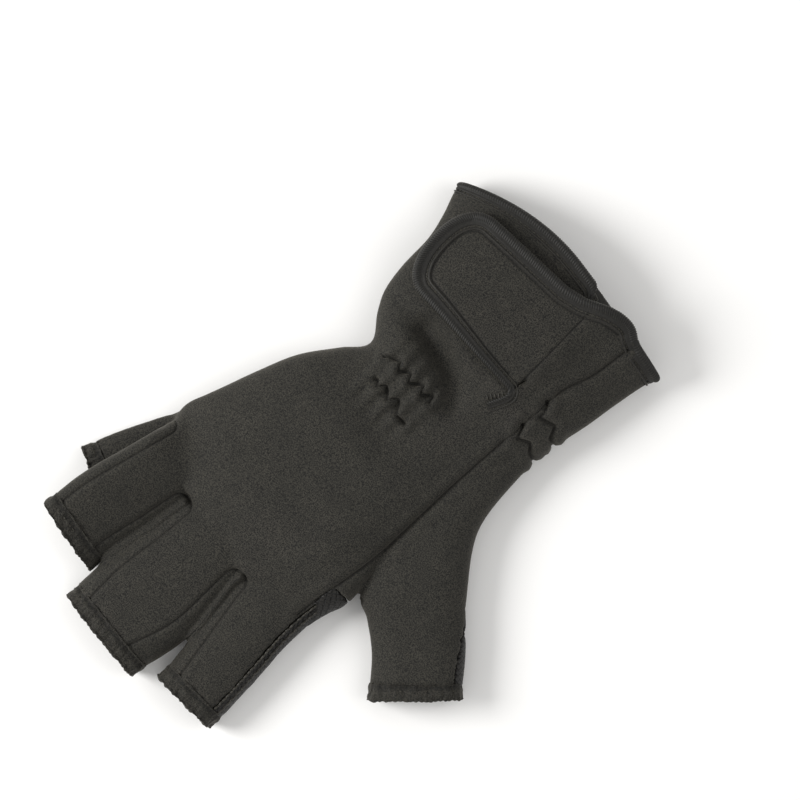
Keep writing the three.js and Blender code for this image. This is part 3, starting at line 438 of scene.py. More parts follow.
def paint_shade(obj, values):
    """Raises the painted shade that the material reads at each vertex, 0 for plain cloth to 1 in the
    deepest shade, as in a seam.
    """
    layer = obj.data.attributes.get("seam") or obj.data.attributes.new("seam", "FLOAT", "POINT")
    old = np.zeros(len(obj.data.vertices), np.float32)
    layer.data.foreach_get("value", old)
    layer.data.foreach_set("value", np.maximum(old, values).astype(np.float32))


def new_piece(name, places, faces):
    """A smooth-shaded object from places in millimetres."""
    mesh = bpy.data.meshes.new(name)
    mesh.from_pydata((places * MM).tolist(), [], faces)
    obj = bpy.data.objects.new(name, mesh)
    bpy.context.scene.collection.objects.link(obj)
    activate(obj)
    bpy.ops.object.shade_smooth()
    return obj


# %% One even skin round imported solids
def cloth_copy(name, nodes, voxel, grow=0.0, moves=None):
    """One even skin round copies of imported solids, grown so that solids sewn together join."""
    copies = []
    for node_name in nodes:
        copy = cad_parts[node_name].copy()
        copy.data = copy.data.copy()
        copy.parent = None
        for key in list(copy.keys()):
            del copy[key]
        bpy.context.scene.collection.objects.link(copy)
        copy.hide_render = copy.hide_viewport = False
        activate(copy)
        bpy.ops.object.mode_set(mode="EDIT")
        bpy.ops.mesh.select_all(action="SELECT")
        bpy.ops.mesh.remove_doubles(threshold=0.01 * MM)
        bpy.ops.object.mode_set(mode="OBJECT")
        if moves and node_name in moves:
            place(copy, moves[node_name](places_of(copy)))
        if grow:
            place(copy, places_of(copy) + normals_of(copy) * grow)
        copies.append(copy)
    activate(copies[0])
    for copy in copies:
        copy.select_set(True)
    if len(copies) > 1:
        bpy.ops.object.join()
    obj = bpy.context.view_layer.objects.active
    obj.name = obj.data.name = name
    obj.data.materials.clear()
    modify(obj, "REMESH", mode="VOXEL", voxel_size=voxel * MM)
    activate(obj)
    bpy.ops.object.shade_smooth()
    return obj


# %% Drawing a skin to the pattern
def draw_to(obj, pattern, reach=1.3, depth=0.0):
    """Draws the outer face of a piece to the pattern, or to a depth below it."""
    places, normals = places_of(obj), normals_of(obj)
    for i, (p, n) in enumerate(zip(places, normals)):
        spot, face_normal, _, distance = pattern.bvh.find_nearest(Vector(p * MM), reach * MM)
        if spot is not None and Vector(n).dot(face_normal) > 0.6:
            places[i] = np.array(spot - face_normal * depth * MM) / MM
    place(obj, places)


# %% Handing a piece to the frame
def finish_piece(obj, nodes, material):
    """Keeps a piece off the floor's underside, attaches it to the body named root, hides its CAD nodes and
    gives it its material.
    """
    places = places_of(obj)
    places[:, 2] = np.maximum(places[:, 2], 0.0)
    place(obj, places)
    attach(obj, "root")
    if nodes:
        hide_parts(*nodes)
    obj.data.materials.clear()
    obj.data.materials.append(material)
    print(obj.name, sum(len(face.vertices) - 2 for face in obj.data.polygons), "triangles")


# %% [markdown]
# ## Materials
# Jersey-faced neoprene is foam rubber with a knitted face glued on: tiny loops give a fine speckle and
# a soft sheen, and dye takes unevenly. Colours come from the photograph's tones.

# %% Colours and nodes
def colour(code):
    channels = [int(code[i:i + 2], 16) / 255 for i in (1, 3, 5)]
    return [c / 12.92 if c <= 0.04045 else ((c + 0.055) / 1.055) ** 2.4 for c in channels] + [1.0]


def node(tree, kind, settings=None, **links):
    """One shader node. settings are properties, and links are sockets or values of its inputs."""
    made = tree.nodes.new(kind)
    for key, value in (settings or {}).items():
        setattr(made, key, value)
    for key, value in links.items():
        socket = made.inputs[int(key[1:]) if key[0] == "_" and key[1:].isdigit() else key.replace("_", " ")]
        if isinstance(value, bpy.types.NodeSocket):
            tree.links.new(value, socket)
        else:
            socket.default_value = value
    return made


def new_material(name):
    material = bpy.data.materials.new(name)
    material.use_nodes = True
    tree = material.node_tree
    tree.nodes.clear()
    shader = node(tree, "ShaderNodeBsdfPrincipled")
    output = node(tree, "ShaderNodeOutputMaterial")
    tree.links.new(shader.outputs["BSDF"], output.inputs["Surface"])
    return material, tree, shader


# Near-black of the painted shade in grooves, creases, rib valleys, hem pits and up the grip's sides; in the
# seams it is partly their own dark line too.
PAINTED_SHADE_COLOUR = "#080807"


def paint(tree, shader, base, tint):
    """The base colour times a tint, mixed towards a near-black painted shade where the piece was darkened.
    """
    tinted = node(tree, "ShaderNodeMix", {"data_type": "RGBA", "blend_type": "MULTIPLY"}, _0=1.0, _6=base,
                  _7=tint)
    # The attribute named seam holds each vertex's painted shade, in seams and in every other darkened
    # place.
    seam = node(tree, "ShaderNodeAttribute", {"attribute_name": "seam"})
    painted_shade_mix = node(tree, "ShaderNodeMix", {"data_type": "RGBA", "blend_type": "MIX"}, _0=seam.outputs["Fac"],
                _6=tinted.outputs[2], _7=colour(PAINTED_SHADE_COLOUR))
    tree.links.new(painted_shade_mix.outputs[2], shader.inputs["Base Color"])


def ramp(tree, fac, stops):
    made = node(tree, "ShaderNodeValToRGB", _0=fac)
    made.color_ramp.elements[0].position, made.color_ramp.elements[0].color = stops[0]
    made.color_ramp.elements[1].position, made.color_ramp.elements[1].color = stops[-1]
    for position, shade in stops[1:-1]:
        made.color_ramp.elements.new(position).color = shade
    return made.outputs["Color"]


# %% Neoprene with a jersey face, and tape and thread made of the same dyed yarn
def jersey(name, dark, light, rough, sheen, relief):
    material, tree, shader = new_material(name)
    place_of = node(tree, "ShaderNodeTexCoord").outputs["Object"]
    speckle = node(tree, "ShaderNodeTexNoise", Vector=place_of, Scale=2300.0, Detail=2.0, Roughness=0.6)
    mottle = node(tree, "ShaderNodeTexNoise", Vector=place_of, Scale=110.0, Detail=5.0, Roughness=0.6)
    grain = ramp(tree, speckle.outputs[0], [(0.38, colour(dark)), (0.62, colour(light))])
    clouds = ramp(tree, mottle.outputs[0], [(0.35, (0.88, 0.88, 0.88, 1)), (0.65, (1.1, 1.09, 1.08, 1))])
    paint(tree, shader, grain, clouds)
    loops = node(tree, "ShaderNodeTexVoronoi", Vector=place_of, Scale=1700.0)
    knit = node(tree, "ShaderNodeBump", Strength=relief, Distance=0.00025, Height=loops.outputs["Distance"])
    pile = node(tree, "ShaderNodeBump", Strength=relief, Distance=0.0004, Height=speckle.outputs[0],
                Normal=knit.outputs[0])
    tree.links.new(pile.outputs[0], shader.inputs["Normal"])
    shader.inputs["Roughness"].default_value = rough
    shader.inputs["Specular IOR Level"].default_value = 0.3
    shader.inputs["Sheen Weight"].default_value = sheen
    shader.inputs["Sheen Roughness"].default_value = 0.45
    shader.inputs["Sheen Tint"].default_value = colour("#c9c2b2")
    return material


neoprene = jersey("neoprene_with_knitted_jersey_face", "#080807", "#37352f", 0.82, 0.16, 0.35)
tape = jersey("polyester_grosgrain_tape", "#141310", "#2d2b26", 0.55, 0.12, 0.1)
thread = jersey("twisted_polyester_thread", "#1b1a17", "#3a372f", 0.4, 0.1, 0.1)
pad_pile = jersey("nylon_hook_pile", "#0c0c0b", "#1e1d1b", 0.5, 0.1, 0.8)


# %% Printed grip with a basket weave, on the piece's own flat lengths
WEAVE_PITCH = 1.9


def printed_grip(name):
    material, tree, shader = new_material(name)
    flat = node(tree, "ShaderNodeUVMap", {"uv_map": "flat"}).outputs["UV"]
    split = node(tree, "ShaderNodeSeparateXYZ", _0=flat)

    def calc(operation, a, b=0.0):
        return node(tree, "ShaderNodeMath", {"operation": operation}, _0=a, _1=b).outputs[0]

    def strap(value):
        """0 in the groove between two straps, 1 on the strap."""
        across = calc("ABSOLUTE", calc("SUBTRACT", calc("FRACT", value), 0.5))
        return calc("MULTIPLY", calc("SUBTRACT", 0.5, across), 2.0)

    scale = 1 / WEAVE_PITCH * 0.707
    u = calc("MULTIPLY", calc("ADD", split.outputs["X"], split.outputs["Y"]), scale)
    v = calc("MULTIPLY", calc("SUBTRACT", split.outputs["Y"], split.outputs["X"]), scale)
    parity = calc("FRACT", calc("MULTIPLY", calc("ADD", calc("FLOOR", u), calc("FLOOR", v)), 0.5))
    over = calc("GREATER_THAN", parity, 0.25)
    lengthwise = calc("MINIMUM", calc("MULTIPLY", strap(u), 2.2), calc("MULTIPLY", strap(v), 5.0))
    crosswise = calc("MINIMUM", calc("MULTIPLY", strap(v), 2.2), calc("MULTIPLY", strap(u), 5.0))
    bars = node(tree, "ShaderNodeMix", {"data_type": "FLOAT"}, _0=over, _2=lengthwise, _3=crosswise)
    height = calc("MINIMUM", bars.outputs[0], 1.0)
    smooth = node(tree, "ShaderNodeMapRange", {"interpolation_type": "SMOOTHSTEP"}, Value=height)
    place_of = node(tree, "ShaderNodeTexCoord").outputs["Object"]
    wear = node(tree, "ShaderNodeTexNoise", Vector=place_of, Scale=260.0, Detail=5.0, Roughness=0.65)
    grit = node(tree, "ShaderNodeTexNoise", Vector=place_of, Scale=1900.0, Detail=2.0)
    # Painted shade: the grooves between the straps are painted near-black and the straps lighter, on top of
    # the relief's bump.
    tone = ramp(tree, smooth.outputs[0], [(0.0, colour("#0d0c0a")), (0.5, colour("#272420")),
                                          (1.0, colour("#3a362f"))])
    patch = ramp(tree, wear.outputs[0], [(0.3, (0.72, 0.72, 0.72, 1)), (0.7, (1.25, 1.24, 1.22, 1))])
    paint(tree, shader, tone, patch)
    fine = node(tree, "ShaderNodeBump", Strength=0.3, Distance=0.0002, Height=grit.outputs[0])
    relief = node(tree, "ShaderNodeBump", Strength=0.9, Distance=0.0005, Height=smooth.outputs[0],
                  Normal=fine.outputs[0])
    tree.links.new(relief.outputs[0], shader.inputs["Normal"])
    shine = node(tree, "ShaderNodeMapRange", Value=wear.outputs[0], To_Min=0.38, To_Max=0.6)
    tree.links.new(shine.outputs[0], shader.inputs["Roughness"])
    shader.inputs["Specular IOR Level"].default_value = 0.35
    return material


grip = printed_grip("rubber_print_embossed_as_basket_weave")
print("materials", [m.name for m in bpy.data.materials])

# %% [markdown]
# ## The shell
# The back, the side panel, the strips between the fingers and the closure tab are the same neoprene,
# joined edge to edge by flat seams. One skin covers them all, and the seams are pressed into it.

# %% Lines in plan
def lengths_along(line):
    return np.r_[0, np.cumsum(np.linalg.norm(np.diff(line, axis=0), axis=1))]


def resample(line, step=0.5):
    """The same line with places at even steps."""
    line = np.asarray(line, float)
    length = lengths_along(line)
    count = max(int(length[-1] / step), 2)
    s = np.linspace(0, length[-1], count + 1)
    return np.stack([np.interp(s, length, line[:, k]) for k in range(line.shape[1])], -1)


def soften(line, passes):
    """Eases the corners of a line, or the steps in rows of a table, in place. The ends stay."""
    for _ in range(passes):
        line[1:-1] = (line[:-2] + 2 * line[1:-1] + line[2:]) / 4
    return line


# %% Seams along the fingers and round the crotches
CROTCH, RING_TURN_RADIUS = 2.0, 3.2


def finger_seam(name, side):
    t = np.linspace(0, 1 - HEM_WIDTH / LENGTHS[name], 40)
    return point(TUBES[name], t, seam_turn(name, side)(t))[:, :2]


def u_seam(radial_name, ulnar_name):
    """From one hem along a finger, round the crotch and along its neighbour to the other hem."""
    down, up = finger_seam(radial_name, 1), finger_seam(ulnar_name, -1)
    down = down[down[:, 1] > CROTCH + MIDDLE[1]][::-1]
    up = up[up[:, 1] > CROTCH + MIDDLE[1]]
    middle, half = (down[-1] + up[0]) / 2, np.linalg.norm(up[0] - down[-1]) / 2
    angle = np.linspace(np.pi, 2 * np.pi, 17)[1:-1]
    arc = middle + half * np.stack([np.cos(angle), 0.9 * np.sin(angle)], -1)
    return resample(np.concatenate([down, arc, up]))


U_SEAMS = [u_seam("index", "middle"), u_seam("middle", "ring")]
ring_seam = finger_seam("ring", 1)
ring_seam = ring_seam[ring_seam[:, 1] > MIDDLE[1] - 12]
ring_turn = np.linspace(2.2, 0.1, 14)
ring_end = ring_seam[0] + RING_TURN_RADIUS * np.stack([1 - np.cos(ring_turn), -np.sin(ring_turn)], -1)
RING_SEAM = resample(np.concatenate([ring_end, ring_seam]))

# %% Creases between the fingers, side seam and the tab's root
finger_y = np.linspace(1.0, 52.0, 60)
CREASES = [resample(np.stack([crease_index(finger_y), finger_y], -1) + MIDDLE[:2]),
           resample(np.stack([crease_ring(finger_y), finger_y], -1)[:52] + MIDDLE[:2])]
side_t = np.linspace(0.0, 0.985, 120)
side_share = (seam_across(side_t) * HAND_WIDTH - hand(side_t)["x"]) / hand(side_t)["half"]
SIDE_SEAM_LINE = resample(point(hand, side_t, turn_at(side_share))[:, :2])
TAB_ROOT = resample(tab_place(0.0, np.linspace(-20.0, 20.5, 40)))
for line in U_SEAMS + [RING_SEAM, SIDE_SEAM_LINE, TAB_ROOT]:
    print("seam from", line[0].round(1), "to", line[-1].round(1))


# %% Line of the tab's tape: band's mouth, round the tab's tip, the slit's closed end and its tail
BAND_MOUTH = np.array([(-0.370, -0.004), (-0.352, 0.003), (-0.330, 0.009), (-0.295, 0.011),
                       (-0.245, 0.004), (-0.195, -0.009), (-0.150, -0.026), (-0.113, -0.040)])
band_mouth = np.stack([BAND_MOUTH[:, 0] * HAND_WIDTH, -(1 + BAND_MOUTH[:, 1]) * HAND_LENGTH], -1)
corner = np.linspace(0, np.pi / 2, 24)[1:]
corner_u = TAB_LENGTH - TAB_ROUND + TAB_ROUND * np.sin(corner) ** (2 / TAB_POWER)
near_u = np.r_[np.linspace(13, TAB_LENGTH - TAB_ROUND, 20), corner_u]
near_side = tab_place(near_u, -tab_half(near_u))
far_u = np.r_[corner_u[::-1][1:], np.linspace(TAB_LENGTH - TAB_ROUND, 1.0, 30)]
far_side = tab_place(far_u, tab_half(far_u))
TAIL = np.array([(-21.9, -121.2), (-20.9, -117.6), (-19.5, -113.6)]) + MIDDLE[:2]
tab_line = np.concatenate([band_mouth + MIDDLE[:2], near_side, far_side, TAIL])
tab_line = soften(resample(tab_line, 0.15), 60)
print("tape round the tab", len(tab_line), "samples")

# %% The tab's tape: its inward directions, its widths and the edge that lies on the cloth
TAPE_WIDTH = 7.45
tab_along = np.gradient(tab_line, axis=0)
tab_along /= np.linalg.norm(tab_along, axis=1)[:, None]
tab_inward = np.stack([-tab_along[:, 1], tab_along[:, 0]], -1)
path_length = lengths_along(tab_line)
tip_at = path_length[np.argmin(np.linalg.norm(tab_line - SLIT_TIP, axis=1))]
far_corner = tab_place(np.array(50.0), np.array(20.0))
far_at = path_length[np.argmin(np.linalg.norm(tab_line - far_corner, axis=1))]
tab_width = 1 - 0.38 * ease(np.clip((path_length - far_at) / (tip_at - 6 - far_at), 0, 1))
tail_share = ease(np.clip((path_length - tip_at + 2) / 6, 0, 1))
inside = (path_length > 8) & (path_length < tip_at - 5)
TAPE_INNER = resample((tab_line + tab_inward * TAPE_WIDTH * tab_width[:, None])[inside])


# %% Pressing lines into cloth
def near_line(places, lines, reach):
    """Distance in plan from each place to the nearest of the lines, in millimetres."""
    spots = np.concatenate(lines)
    tree = KDTree(len(spots))
    for i, (x, y) in enumerate(spots):
        tree.insert((x, y, 0), i)
    tree.balance()
    found = np.full(len(places), 1e3)
    low, high = spots.min(0) - reach, spots.max(0) + reach
    inside = np.all((places[:, :2] > low) & (places[:, :2] < high), axis=1)
    for i in np.nonzero(inside)[0]:
        found[i] = tree.find((places[i, 0], places[i, 1], 0))[2]
    return found


def facing_up(normals, upward=0.1):
    """0 on the sides and below, 1 on cloth that faces up."""
    return np.clip((normals[:, 2] - upward) / 0.3, 0, 1)


def refine(obj, lines, width, upward=0.1, floor=8.0):
    """Splits the faces within width of the lines, on the side of the cloth that faces up."""
    activate(obj)
    count = len(obj.data.polygons)
    centres, facing = np.empty(count * 3, np.float32), np.empty(count * 3, np.float32)
    obj.data.polygons.foreach_get("center", centres)
    obj.data.polygons.foreach_get("normal", facing)
    centres, facing = centres.reshape(-1, 3) / MM, facing.reshape(-1, 3)
    chosen = near_line(centres, lines, width) < width
    chosen &= (facing[:, 2] > upward) & (centres[:, 2] > floor)
    obj.data.vertices.foreach_set("select", np.zeros(len(obj.data.vertices), bool))
    obj.data.edges.foreach_set("select", np.zeros(len(obj.data.edges), bool))
    obj.data.polygons.foreach_set("select", chosen)
    bpy.ops.object.mode_set(mode="EDIT")
    bpy.context.tool_settings.mesh_select_mode = (False, False, True)
    bpy.ops.mesh.subdivide(number_cuts=1)
    bpy.ops.object.mode_set(mode="OBJECT")
    print("faces split along lines", int(chosen.sum()))


def press(obj, lines, depth, width, swell=0.25, swell_at=2.2, swell_width=1.1, upward=0.1, dark=1.0,
          floor=8.0):
    """A groove of this depth and width along the lines, between softly swollen shoulders, with painted
    shade along its bottom.
    """
    places, normals = places_of(obj), normals_of(obj)
    away = near_line(places, lines, swell_at + 3 * swell_width)
    up = facing_up(normals, upward) * np.clip((places[:, 2] - floor) / 2, 0, 1)
    drop = depth * bell(away / width) - swell * bell((away - swell_at) / swell_width)
    place(obj, places - normals * (drop * up)[:, None])
    # Painted shade in the groove's bottom, where shade falls; in the seams it is partly their own dark line
    # as well.
    paint_shade(obj, dark * bell(away / (0.8 * width)) * up)


# %% Soft unevenness of foam that has been worn and packed
def uneven(obj, size, amount, seed=0.0):
    places, normals = places_of(obj), normals_of(obj)
    shift = Vector((seed, 2 * seed, 3 * seed))
    waves = np.array([noise.noise(Vector(p) / size + shift) for p in places])
    place(obj, places + normals * (waves * amount)[:, None])


# %% [markdown]
# ## Gathers
# An elastic sewn under the cloth with two zigzag rows draws the wrist into lumps, and a shorter one
# gathers the side. The rows are lines in plan, read off the photograph. The lumps are waves of cosines
# that fade out round the gather, because a simulation would never give these folds in these places.

# %% Rows of the gathers, and the hollow beside the tab
PHOTO_TO_ROW = np.array([-8.75, -62.0]) + MIDDLE[:2]
ZIGZAGS = [
    np.array([(20.5, -23.5), (18.8, -21.7), (16, -24.9), (12.6, -21.8), (9.3, -25.5), (6, -21.1),
              (1.2, -21.8)]),
    np.array([(26, -31), (24.7, -32.3), (21, -34.7), (17.9, -31.9), (15.4, -35.3), (11.9, -32.2),
              (8.7, -36.5), (5.5, -33.1), (3.1, -37), (1.9, -34.2)]),
]
SIDE_ZIGZAGS = [
    np.array([(-24.8, -69.8), (-27.3, -67.4), (-28, -64), (-34.1, -67), (-36.9, -62.5), (-44, -61)]),
    np.array([(-26.3, -57.2), (-29.4, -52.5), (-33.6, -55.6), (-36.4, -53), (-44, -52)]),
]
ZIGZAG_LINES = [resample(line + PHOTO_TO_ROW, 0.4) for line in ZIGZAGS]
SIDE_LINES = [resample(line + PHOTO_TO_ROW, 0.4) for line in SIDE_ZIGZAGS]
HOLLOW = resample(np.array([(24, -50.5), (18, -50), (9.5, -48), (2, -45), (-3.5, -40.5)]) + PHOTO_TO_ROW)
print("gathers' rows", [len(line) for line in ZIGZAG_LINES + SIDE_LINES], "places")

# %% Lumps, folds and hollow
GATHER_MIDDLE = np.array([12.5, -28.5]) + PHOTO_TO_ROW
FOLD_PITCH, HOLLOW_DEPTH, HOLLOW_WIDTH = 6.3, 4.2, 5.0


def gather(obj):
    """Puffed lumps between the two rows, folds that fan out from them, and the hollow beside the tab."""
    places, normals = places_of(obj), normals_of(obj)
    across, along = places[:, 0] - GATHER_MIDDLE[0], places[:, 1] - GATHER_MIDDLE[1]
    env = np.exp(-((across / 14.0) ** 4)) * np.exp(-((along / 15.0) ** 4))
    folds = np.cos(2 * np.pi * (across + 0.15 * along) / FOLD_PITCH)
    between = np.exp(-((along / 4.5) ** 4))
    lumps = (1.1 + 1.1 * folds) * (1 - between) + (1.9 + 0.7 * folds) * between
    rise = env * facing_up(normals) * lumps
    dip = HOLLOW_DEPTH * bell(near_line(places, [HOLLOW], 16.0) / HOLLOW_WIDTH)
    dip = dip * np.clip((places[:, 2] - 12) / 4, 0, 1)
    covered = places[:, 2] > tab_level(places[:, 0], places[:, 1]) - NEOPRENE - 1.0
    places = places + normals * rise[:, None]
    places[:, 2] -= dip * ~covered
    place(obj, places)


# %% Creases between the fingers
CREASE_FILL, CREASE_WIDTH = 3.2, 1.3


def fill_creases(obj):
    """The strips between neighbouring fingers are one cloth, folded softly at the crease."""
    places, normals = places_of(obj), normals_of(obj)
    away = near_line(places, CREASES, 6.0)
    reach = np.clip((places[:, 1] - MIDDLE[1]) / 55.0, 0, 1)
    places[:, 2] += CREASE_FILL * (1 - 0.6 * reach) * bell(away / CREASE_WIDTH) * facing_up(normals)
    place(obj, places)


# %% The layers round the slit's closed end, sewn flat together
def flatten_slit(obj):
    places = places_of(obj)
    x, y, z = places.T
    slit = slit_x(y)
    tab_cloth = (z > hand_top(x, y) + 1.5) & (x > slit - 0.15) & (y < SLIT_TIP[1] + 8)
    band = sewn_rise(x, y) - band_rise(x - MIDDLE[0], y - MIDDLE[1])
    under = sewn_rise(x, y) * ease(np.clip((y - SLIT_TIP[1] + 4) / 5, 0, 1))
    lift = np.where(x < slit, band, under) * (z > 12)
    places[:, 2] += np.where(tab_cloth, -TAB_PRESS * pressed(x, y), lift)
    place(obj, places)


# %% Places where the cloth is stretched smooth: ring finger's root, creases and the slit's end
def ease_cloth(obj):
    places = places_of(obj)

    def spot(middle, reach):
        return np.exp(-((np.linalg.norm(places[:, :2] - middle, axis=1) / reach) ** 4))

    weight = np.maximum(spot([57.5, 45.0], 11.0), spot([0.6, -72.9], 3.0))
    weight = np.maximum(weight, np.exp(-((near_line(places, CREASES, 5.0) / 1.9) ** 4)))
    weight *= (places[:, 2] > 7) & (normals_of(obj)[:, 2] > 0)
    group = obj.vertex_groups.new(name="eased")
    for level in range(1, 9):
        group.add(np.nonzero(np.round(weight * 8) == level)[0].tolist(), level / 8, "REPLACE")
    modify(obj, "SMOOTH", factor=0.5, iterations=70, vertex_group="eased")


# %% The pattern of all the smooth neoprene
def to_the_slit(places):
    """The tab's root moves back to the slit's edge, where it is sewn to the band."""
    v = places[:, 1] - MIDDLE[1] + TAB_DOWN
    near = np.clip(1 - (places[:, 0] - tab_place(0.0, v)[:, 0]) / 4, 0, 1)
    places[:, 0] -= near * (1.05 + 0.45 * np.clip((12.5 - v) / 3, 0, 1))
    return places


shell_pattern = Pattern()
shell_pattern.add(hand, 260, 200).add(raised_hand, 90, 120, 0.0, 0.31, high=slit_turn)
tab_u, tab_v = np.linspace(0, 62.5, 64)[:, None], np.linspace(22, -22, 49)[None, :]
tab_xy = tab_place(tab_u + 0 * tab_v, tab_v + 0 * tab_u)
tab_z = hand_top(tab_xy[..., 0], tab_xy[..., 1]) + TAB_RAISE
shell_pattern.add_grid(np.concatenate([tab_xy, tab_z[..., None]], -1))
for name in TUBES:
    shell_pattern.add(TUBES[name], 130, 120)
shell_pattern.tree()
print("faces of the shell's pattern", len(shell_pattern.faces))

# %% One skin for all the smooth neoprene
SHELL_NODES = ["back_panel", "thumb_panel", "fourchette_index_middle", "fourchette_middle_ring",
               "fourchette_ring_little", "fourchette_under_ring", "closure_tab"]
shell = cloth_copy("glove_shell", SHELL_NODES, 1.2, grow=0.2, moves={"closure_tab": to_the_slit})
modify(shell, "SMOOTH", factor=0.5, iterations=5)
draw_to(shell, shell_pattern)
modify(shell, "SMOOTH", factor=0.5, iterations=3)
flatten_slit(shell)
ease_cloth(shell)

# %% Seams, gathers and folds
FINE_LINES = U_SEAMS + ZIGZAG_LINES + CREASES + [RING_SEAM, TAB_ROOT, SIDE_SEAM_LINE, TAPE_INNER]
refine(shell, FINE_LINES, 1.7)
refine(shell, FINE_LINES, 0.8)
refine(shell, SIDE_LINES, 2.2, upward=-0.5, floor=3.0)
uneven(shell, 26.0, 0.45)
gather(shell)
press(shell, U_SEAMS + [RING_SEAM], 0.6, 0.45, dark=0.6)
fill_creases(shell)
press(shell, CREASES, 0.8, 0.6, swell=0.0, dark=0.35)
press(shell, [SIDE_SEAM_LINE], 0.9, 0.6, swell=0.5, swell_at=3.2, swell_width=2.0, dark=0.5)
press(shell, [TAB_ROOT], 0.45, 0.4, swell=0.1, dark=0.85)
press(shell, [TAPE_INNER], 0.35, 0.4, swell=0.1, dark=0.9)
press(shell, ZIGZAG_LINES, 1.5, 0.6, swell=0.6, swell_at=2.4, dark=0.6)
press(shell, SIDE_LINES, 1.5, 0.6, swell=0.9, swell_at=3.2, swell_width=1.8, upward=-0.5, dark=0.6,
      floor=2.0)
finish_piece(shell, SHELL_NODES, neoprene)

# %% [markdown]
# ## Palm
# The palm, the fronts of the fingers and the front of the thumb carry the printed grip. Its weave is
# drawn on flat lengths measured over the cloth, so it bends round the sides without stretching.

# %% A piece of the printed cloth
def grip_piece(name, node_name, pattern, voxel):
    """A skin with flat lengths for the weave, painted darker up the sides as painted shade; up there it is
    sewn to the shell.
    """
    piece = cloth_copy(name, [node_name], voxel, grow=0.1)
    modify(piece, "SMOOTH", factor=0.5, iterations=4)
    draw_to(piece, pattern, depth=0.12)
    modify(piece, "SMOOTH", factor=0.5, iterations=2)
    flat = pattern.flat_at(places_of(piece))
    layer = piece.data.uv_layers.new(name="flat")
    corners = np.empty(len(piece.data.loops), np.int32)
    piece.data.loops.foreach_get("vertex_index", corners)
    layer.data.foreach_set("uv", flat[corners].astype(np.float32).ravel())
    # Painted shade up the grip's sides, darker with height above the floor.
    paint_shade(piece, 0.8 * np.clip((places_of(piece)[:, 2] - 3.0) / 2.5, 0, 1))
    return piece


# %% Palm and the thumb's front
palm_pattern = Pattern().add(hand, 260, 200)
for name in FINGERS:
    palm_pattern.add(TUBES[name], 110, 110)
palm = grip_piece("glove_palm", "palm_panel", palm_pattern.tree(), 0.95)
uneven(palm, 5.0, 0.3, 4.0)
finish_piece(palm, ["palm_panel"], grip)
thumb_pattern = Pattern().add(TUBES["thumb"], 150, 120, length=THUMB_LENGTH).tree()
thumb_front = grip_piece("thumb_front", "thumb_grip", thumb_pattern, 0.9)
finish_piece(thumb_front, ["thumb_grip"], grip)

# %% [markdown]
# ## Bindings
# One ribbed tape is folded over the cuff's mouth, runs on over the band's mouth and round the tab's edge,
# and turns at the slit's closed end, where it is tacked down. It has a rounded fold with fine ribs across
# it, a flat flange and a raised line where it is sewn on. A drawn section is swept along the whole path,
# because every rib and ridge then follows the tape round its corners, as woven ones do.

# %% Section of the tape: inwards from the fold, up from the middle of the cloth, painted shade, share of ribs
TAPE = np.array([
    (7.45, 0.98, 1.0, 0.0), (7.0, 1.05, 1.0, 0.0), (6.85, 1.62, 0.1, 0.0), (6.5, 1.76, 0.0, 0.0),
    (6.15, 1.62, 0.1, 0.0), (5.95, 1.1, 1.0, 0.0), (5.3, 1.06, 1.0, 0.0), (5.05, 1.55, 0.5, 0.0),
    (4.7, 1.62, 0.4, 0.0), (4.1, 1.64, 0.4, 0.0), (3.6, 1.62, 0.55, 0.0), (3.3, 1.80, 0.2, 0.5),
    (2.9, 2.05, 0.0, 1.0), (2.2, 2.22, 0.0, 1.0), (1.4, 2.12, 0.0, 1.0), (0.7, 1.80, 0.0, 1.0),
    (0.25, 1.20, 0.0, 0.9), (0.03, 0.45, 0.05, 0.7), (0.03, -0.45, 0.1, 0.4), (0.3, -1.25, 0.1, 0.2),
    (1.2, -1.95, 0.1, 0.0), (3.0, -2.1, 0.1, 0.0), (6.4, -1.9, 0.1, 0.0), (6.5, -1.3, 0.1, 0.0),
    (1.0, -1.3, 0.1, 0.0), (1.0, 0.9, 0.1, 0.0),
])
RIB_PITCH, RIB_DEPTH = 0.95, 0.3


def ribbed(places_at, line, name, width):
    """A tape along a line. places_at gives the places for lengths inwards and up at every sample."""
    count = len(line)
    s = lengths_along(line)[:, None]
    p, q, shade, share = [TAPE[:, k][None, :] + 0 * s for k in range(4)]
    rib = 0.5 + 0.5 * np.cos(2 * np.pi * (s + 0.3 * p) / RIB_PITCH)
    out = RIB_DEPTH * (rib - 0.8) * share
    ahead, behind = np.roll(TAPE[:, :2], -1, 0), np.roll(TAPE[:, :2], 1, 0)
    along = ahead - behind
    away = np.stack([along[:, 1], -along[:, 0]], -1)
    away /= np.linalg.norm(away, axis=1)[:, None]
    p = (p + out * away[None, :, 0]) * width[:, None]
    q = q + out * away[None, :, 1]
    places = places_at(p, q).reshape(-1, 3)
    n = TAPE.shape[0]
    i, j = np.meshgrid(np.arange(count - 1), np.arange(n), indexing="ij")
    a, b = i * n + j, i * n + (j + 1) % n
    faces = np.stack([a, b, b + n, a + n], -1).reshape(-1, 4).tolist()
    faces += [list(range(n)), list(range((count - 1) * n, count * n))[::-1]]
    obj = new_piece(name, places, faces)
    bpy.ops.object.mode_set(mode="EDIT")
    bpy.ops.mesh.select_all(action="SELECT")
    bpy.ops.mesh.normals_make_consistent(inside=False)
    bpy.ops.object.mode_set(mode="OBJECT")
    # Painted shade: the section's shade column darkens the tape's grooves and flat strip, and the valleys
    # between the ribs are painted darker.
    paint_shade(obj, np.clip(shade + 0.95 * share * (1 - rib) ** 0.8, 0, 1).ravel())
    return obj


# %% Places on the tab's part of the tape
def shell_level(x, y):
    """Height of the cloth's upper face beside the slit's closed end."""
    return hand_top(x, y) + sewn_rise(x, y)


